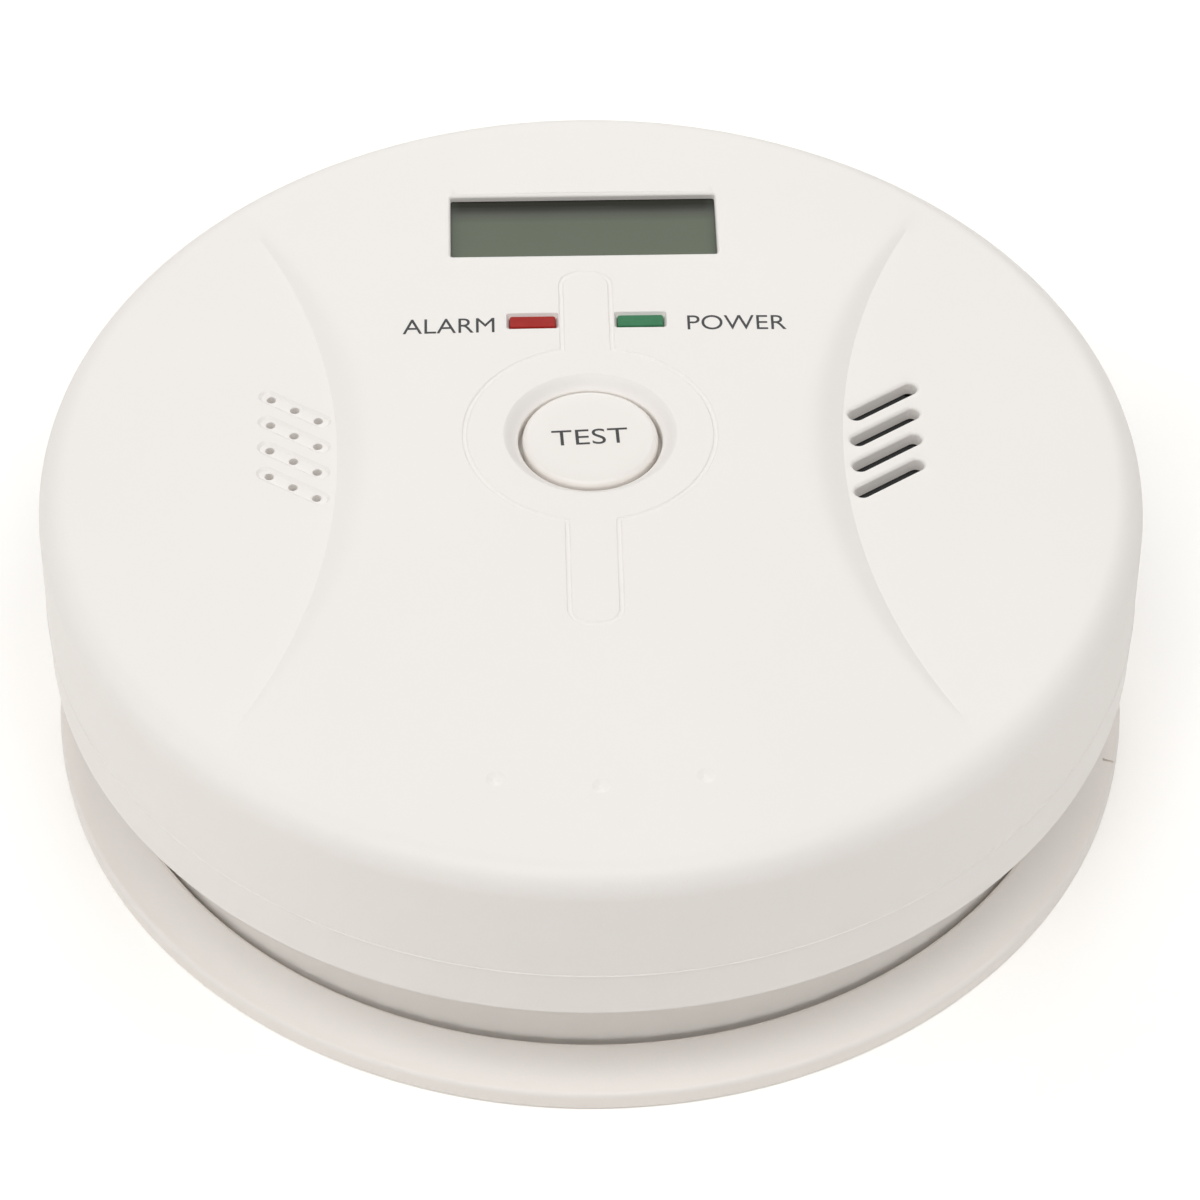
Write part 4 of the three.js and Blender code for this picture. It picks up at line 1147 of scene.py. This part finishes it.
def aim_camera():
    elevation, azimuth, roll = math.radians(45.57), math.radians(-1.6), 0.00521
    distance, side_shift, drop = 509.2, 0.92, 0.035
    back = direction(azimuth, elevation)
    right = Vector((math.cos(azimuth), math.sin(azimuth), 0))
    up = back.cross(right)
    place = Vector((0, 0, 14)) + back * distance + right * side_shift - up * drop
    turned_right = right * math.cos(roll) + up * math.sin(roll)
    turned_up = back.cross(turned_right)
    camera = in_scene("camera", bpy.data.cameras.new("camera"))
    camera.matrix_world = Matrix.Translation(place * MM) @ Matrix(
        (turned_right, turned_up, back)
    ).transposed().to_4x4()
    camera.data.lens = 155.49
    camera.data.sensor_width = 36
    camera.data.clip_start = 0.01
    bpy.context.scene.camera = camera


def soft_light(name, azimuth, elevation, power):
    """A round softbox aimed at the alarm; azimuth is degrees from the front towards +X."""
    light = bpy.data.lights.new(name, "AREA")
    light.shape = "DISK"
    light.size = SOFTBOX_SIZE
    light.energy = power
    light.color = SOFTBOX_COLOUR
    away = direction(math.radians(azimuth), math.radians(elevation))
    holder = in_scene(name, light)
    holder.location = away * SOFTBOX_DISTANCE
    holder.rotation_euler = (-away).to_track_quat("-Z", "Y").to_euler()


def studio():
    scene = bpy.context.scene
    scene.view_settings.view_transform = "Standard"
    world = bpy.data.worlds.new("studio")
    scene.world = world
    world.use_nodes = True
    background = world.node_tree.nodes["Background"]
    background.inputs["Color"].default_value = (1, 1, 1, 1)
    background.inputs["Strength"].default_value = WORLD_GLOW
    for name, azimuth, elevation, power in SOFT_LIGHTS:
        soft_light(name, azimuth, elevation, power)
    bm = bmesh.new()
    bmesh.ops.create_grid(bm, x_segments=1, y_segments=1, size=3)
    floor = new_object("floor", bm)
    paper = Finish(
        "studio_paper", Roughness=0.9, Emission_Color=(1, 1, 1, 1), Emission_Strength=PAPER_GLOW
    )
    paper.colour(paper.ramp(paper.noise(400, 1), PAPER_SHADES))
    floor.data.materials.append(paper.material)


# ---------------------------------------------------------------- finishes by slot

DISPLAY_VIEW_SHIFT = -0.9  # the window's far wall hides this much of the film
# Film colour along the window, then painted shadow darkening to near black at its far edge.
DISPLAY_FILM_AND_PAINTED_SHADOW = [
    (0.0, (0.124, 0.144, 0.102)),
    (0.75, (0.12, 0.14, 0.098)),
    (0.88, (0.09, 0.095, 0.075)),
    (0.97, (0.035, 0.035, 0.028)),
]
# Painted shade mixed in at the two ends of the display, beside the window's side walls.
DISPLAY_END_PAINTED_SHADE = (0.085, 0.1, 0.078)


def metal(name, colour, roughness, scratches=0.35):
    finish = Finish(name, Metallic=1.0)
    drawn = finish.noise(scratches, 3, 0.6, (1, 12, 1))
    finish.colour(finish.ramp(drawn, [(0.25, shade(colour, 0.86)), (0.75, shade(colour, 1.08))]))
    finish.roughness(finish.spread(drawn, roughness - 0.07, roughness + 0.07))
    finish.bump(drawn, 0.01)
    return finish.material


def glossy(name, colour, roughness=0.25, patch=2.5, variation=0.08, **constants):
    """Dense smooth material: sleeves, epoxy, lacquer."""
    finish = Finish(name, **constants)
    cloud = finish.noise(patch, 3)
    stops = [(0.3, shade(colour, 1 - variation)), (0.7, shade(colour, 1 + variation))]
    finish.colour(finish.ramp(cloud, stops))
    finish.roughness(finish.spread(cloud, roughness - 0.04, roughness + 0.04))
    finish.bump(finish.noise(0.8, 2), 0.004)
    return finish.material


def porous(name, colour, cell=0.35, relief=0.05):
    """Foam, felt or fired ceramic, with open grain."""
    finish = Finish(name)
    grain = finish.noise(cell, 4, 0.7)
    finish.colour(finish.ramp(grain, [(0.3, shade(colour, 0.75)), (0.65, shade(colour, 1.15))]))
    finish.roughness(finish.spread(grain, 0.8, 0.95))
    finish.bump(grain, relief)
    return finish.material


def striped(name, one, other, pitch, roughness):
    """Alternate layers across X, as in a contact strip or a wire winding."""
    finish = Finish(name)
    mapping = finish.node("Mapping")
    mapping.inputs["Scale"].default_value = (1 / (pitch * MM),) * 3
    finish.link(finish.place, mapping.inputs["Vector"])
    wave = finish.node("TexWave", wave_type="BANDS", bands_direction="X")
    wave.inputs["Scale"].default_value = 0.314
    wave.inputs["Distortion"].default_value = 0.3
    finish.link(mapping.outputs["Vector"], wave.inputs["Vector"])
    band = wave.outputs["Fac"]
    finish.colour(finish.ramp(band, [(0.35, one), (0.65, other)]))
    finish.roughness(finish.spread(band, roughness, roughness + 0.1))
    finish.bump(band, 0.03)
    return finish.material


def board_lacquer():
    """Green solder lacquer with paler tracks showing through."""
    finish = Finish("board_laminate")
    mapping = finish.node("Mapping")
    mapping.inputs["Scale"].default_value = (1 / (2.2 * MM),) * 3
    finish.link(finish.place, mapping.inputs["Vector"])
    cells = finish.node("TexVoronoi", feature="DISTANCE_TO_EDGE", distance="CHEBYCHEV")
    cells.inputs["Scale"].default_value = 1.0
    finish.link(mapping.outputs["Vector"], cells.inputs["Vector"])
    track = cells.outputs["Distance"]
    stops = [(0.06, (0.012, 0.09, 0.035)), (0.1, (0.025, 0.19, 0.075)), (0.16, (0.012, 0.1, 0.04))]
    finish.colour(finish.ramp(track, stops))
    finish.roughness(finish.spread(finish.noise(3, 2), 0.26, 0.36))
    finish.bump(track, 0.02)
    return finish.material


def lens_resin(name, colour, painted_shade_and_patch_colour):
    """Tinted lamp resin with random darker patches, and painted shade that darkens it towards the
    bottom, where it sits down in its window.
    """
    finish = Finish(name, Specular_IOR_Level=0.05)
    split = finish.node("SeparateXYZ")
    finish.link(finish.place, split.inputs["Vector"])
    depth = finish.node("MapRange")
    depth.inputs["From Min"].default_value = (lamp_high.z - 1.5) * MM
    depth.inputs["From Max"].default_value = lamp_high.z * MM
    finish.link(split.outputs["Z"], depth.inputs["Value"])
    # Painted shade: the resin darkens towards the bottom of the lens, down in its window.
    body = finish.ramp(depth.outputs["Result"], [(0.0, painted_shade_and_patch_colour), (1.0, colour)])
    cloud = finish.noise(1.2, 2)
    finish.colour(finish.mix(finish.spread(cloud, 0, 0.25), body, (*painted_shade_and_patch_colour, 1)))
    finish.roughness(finish.spread(cloud, 0.28, 0.36))
    finish.bump(finish.noise(0.5, 2), 0.006)
    return finish.material


def display_film():
    """Grey-green display behind its polariser, with painted shadow darkening its far edge, where
    the case shades it, and painted shade at its two ends.
    """
    finish = Finish("display_glass", Specular_IOR_Level=0.15)
    split = finish.node("SeparateXYZ")
    finish.link(finish.place, split.inputs["Vector"])
    far_edge = middle("display_glass").y + WINDOW_HEIGHT / 2 + DISPLAY_VIEW_SHIFT
    near_edge = far_edge - WINDOW_HEIGHT
    along = finish.node("MapRange")
    along.inputs["From Min"].default_value = near_edge * MM
    along.inputs["From Max"].default_value = far_edge * MM
    finish.link(split.outputs["Y"], along.inputs["Value"])
    # Painted shadow: the film darkens towards the window's far edge, where the case shades it.
    film_and_painted_shadow = finish.ramp(along.outputs["Result"], DISPLAY_FILM_AND_PAINTED_SHADOW)
    # Painted shade at the display's two ends, beside the window's side walls.
    across = finish.node("Math", operation="ABSOLUTE")
    finish.link(split.outputs["X"], across.inputs[0])
    side = finish.node("MapRange")
    side.inputs["From Min"].default_value = (WINDOW_WIDTH / 2 - 1.1) * MM
    side.inputs["From Max"].default_value = (WINDOW_WIDTH / 2 - 0.1) * MM
    side.inputs["To Max"].default_value = 0.35
    finish.link(across.outputs[0], side.inputs["Value"])
    finish.colour(finish.mix(side.outputs["Result"], film_and_painted_shadow, (*DISPLAY_END_PAINTED_SHADE, 1)))
    finish.roughness(finish.spread(finish.noise(6, 2), 0.3, 0.38))
    finish.bump(finish.noise(0.4, 2), 0.003)
    return finish.material


SHELL_COLOUR = (0.86, 0.818, 0.775)
PLATE_COLOUR = (0.865, 0.815, 0.77)
CAP_COLOUR = (0.85, 0.805, 0.755)


def finishes():
    return {
        "shell_plastic": moulded_plastic("shell_plastic", SHELL_COLOUR, 0.5),
        "plate_plastic": moulded_plastic("plate_plastic", PLATE_COLOUR, 0.5),
        "button_plastic": moulded_plastic("button_plastic", CAP_COLOUR, 0.42, 0.2, 0.006),
        "display_glass": display_film(),
        "red_lens": lens_resin("red_lens", (0.38, 0.028, 0.022), (0.25, 0.01, 0.008)),
        "green_lens": lens_resin("green_lens", (0.055, 0.21, 0.1), (0.025, 0.12, 0.05)),
        "black_moulding": moulded_plastic("black_moulding", (0.02,) * 3, 0.5, 0.3, 0.01, 0.2),
        "board_laminate": board_lacquer(),
        "cell_sleeve": glossy("cell_sleeve", (0.05, 0.06, 0.08), 0.25, 6),
        "nickel_plate": metal("nickel_plate", (0.62, 0.6, 0.56), 0.28),
        "screw_steel": metal("screw_steel", (0.5, 0.5, 0.5), 0.35),
        "red_insulation": glossy("red_insulation", (0.45, 0.02, 0.015), 0.45),
        "black_insulation": glossy("black_insulation", (0.012,) * 3, 0.45),
        "brass": metal("brass", (0.6, 0.4, 0.12), 0.3, 0.8),
        "ceramic": porous("ceramic", (0.8, 0.77, 0.68), 0.15, 0.01),
        "foam": porous("foam", (0.03,) * 3),
        "membrane": porous("membrane", (0.85,) * 3, 0.2, 0.02),
        "chip_epoxy": moulded_plastic("chip_epoxy", (0.012,) * 3, 0.6, 0.15, 0.008, 0.2),
        "copper_wire": striped("copper_wire", (0.35, 0.13, 0.05), (0.6, 0.26, 0.1), 0.5, 0.35),
        "capacitor_sleeve": glossy("capacitor_sleeve", (0.02, 0.045, 0.15), 0.3),
        "contact_rubber": striped("contact_rubber", (0.7, 0.35, 0.3), (0.75, 0.6, 0.5), 0.4, 0.7),
    }


def print_ink():
    finish = Finish("print_ink")
    cover = finish.noise(0.25, 3)
    finish.colour(finish.ramp(cover, [(0.3, (0.03, 0.03, 0.032)), (0.7, (0.055,) * 3)]))
    finish.roughness(finish.spread(cover, 0.5, 0.65))
    finish.bump(cover, 0.004)
    return finish.material


# ---------------------------------------------------------------- the whole alarm

BODY_OF = {}
for body_name, members in frame["record"]["behaviour"]["bodies"].items():
    for member in members:
        BODY_OF[member] = body_name
SLOT_OF = {part["node"]: part["material_slot"] for part in frame["record"]["subparts"]}

EDGES = {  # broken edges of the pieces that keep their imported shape
    "rear_housing": 0.15,
    "circuit_board": 0.12,
    "display_frame": 0.15,
    "switch_body": 0.2,
    "sounder_case": 0.25,
    "gas_sensor_can": 0.2,
    "controller_chip": 0.12,
    "driver_chip": 0.1,
}


def add(thing, node):
    """The piece takes the body of the node it stands for."""
    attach(thing, BODY_OF[node])


def main():
    finish = finishes()
    for name, node in frame["nodes"].items():
        node.data.materials.clear()
        node.data.materials.append(finish[SLOT_OF[name]])

    cover = front_cover()
    cover.data.materials.append(finish["shell_plastic"])
    made = [
        (cover, "front_cover"),
        (mounting_plate(finish["plate_plastic"]), "mounting_plate"),
        (button_cap(finish["button_plastic"]), "test_button"),
        (lamp_lens("alarm_lamp", finish["red_lens"]), "alarm_lamp"),
        (lamp_lens("power_lamp", finish["green_lens"]), "power_lamp"),
        (display_pane(finish["display_glass"]), "display_glass"),
    ]
    for thing, node in made:
        if thing.modifiers:
            baked(thing)
        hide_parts(node)
        add(thing, node)
    add(plate_hooks(finish["plate_plastic"]), "mounting_plate")
    for node in frame["nodes"]:
        if not frame["nodes"][node].hide_render:
            edge = EDGES.get(node, 0.06)
            add(refined(node, edge, finish[SLOT_OF[node]]), node)

    ink = print_ink()
    prints = [
        ("print_test", "TEST", 2.1, 7.3, (-0.05, FACE_Y - 0.05), TEST_TURN, cap_top_height),
        ("print_alarm", "ALARM", 2.1, 9.0, (-13.55, 19.15), 0.0, smooth_face_height),
        ("print_power", "POWER", 2.1, 9.7, (14.75, 19.15), 0.0, smooth_face_height),
    ]
    for name, text, size, width, centre, angle, height in prints:
        thing = lettering(name, text, size, width, centre, angle, height, ink)
        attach(thing, "test_button" if text == "TEST" else "alarm")
    aim_camera()
    studio()


main()
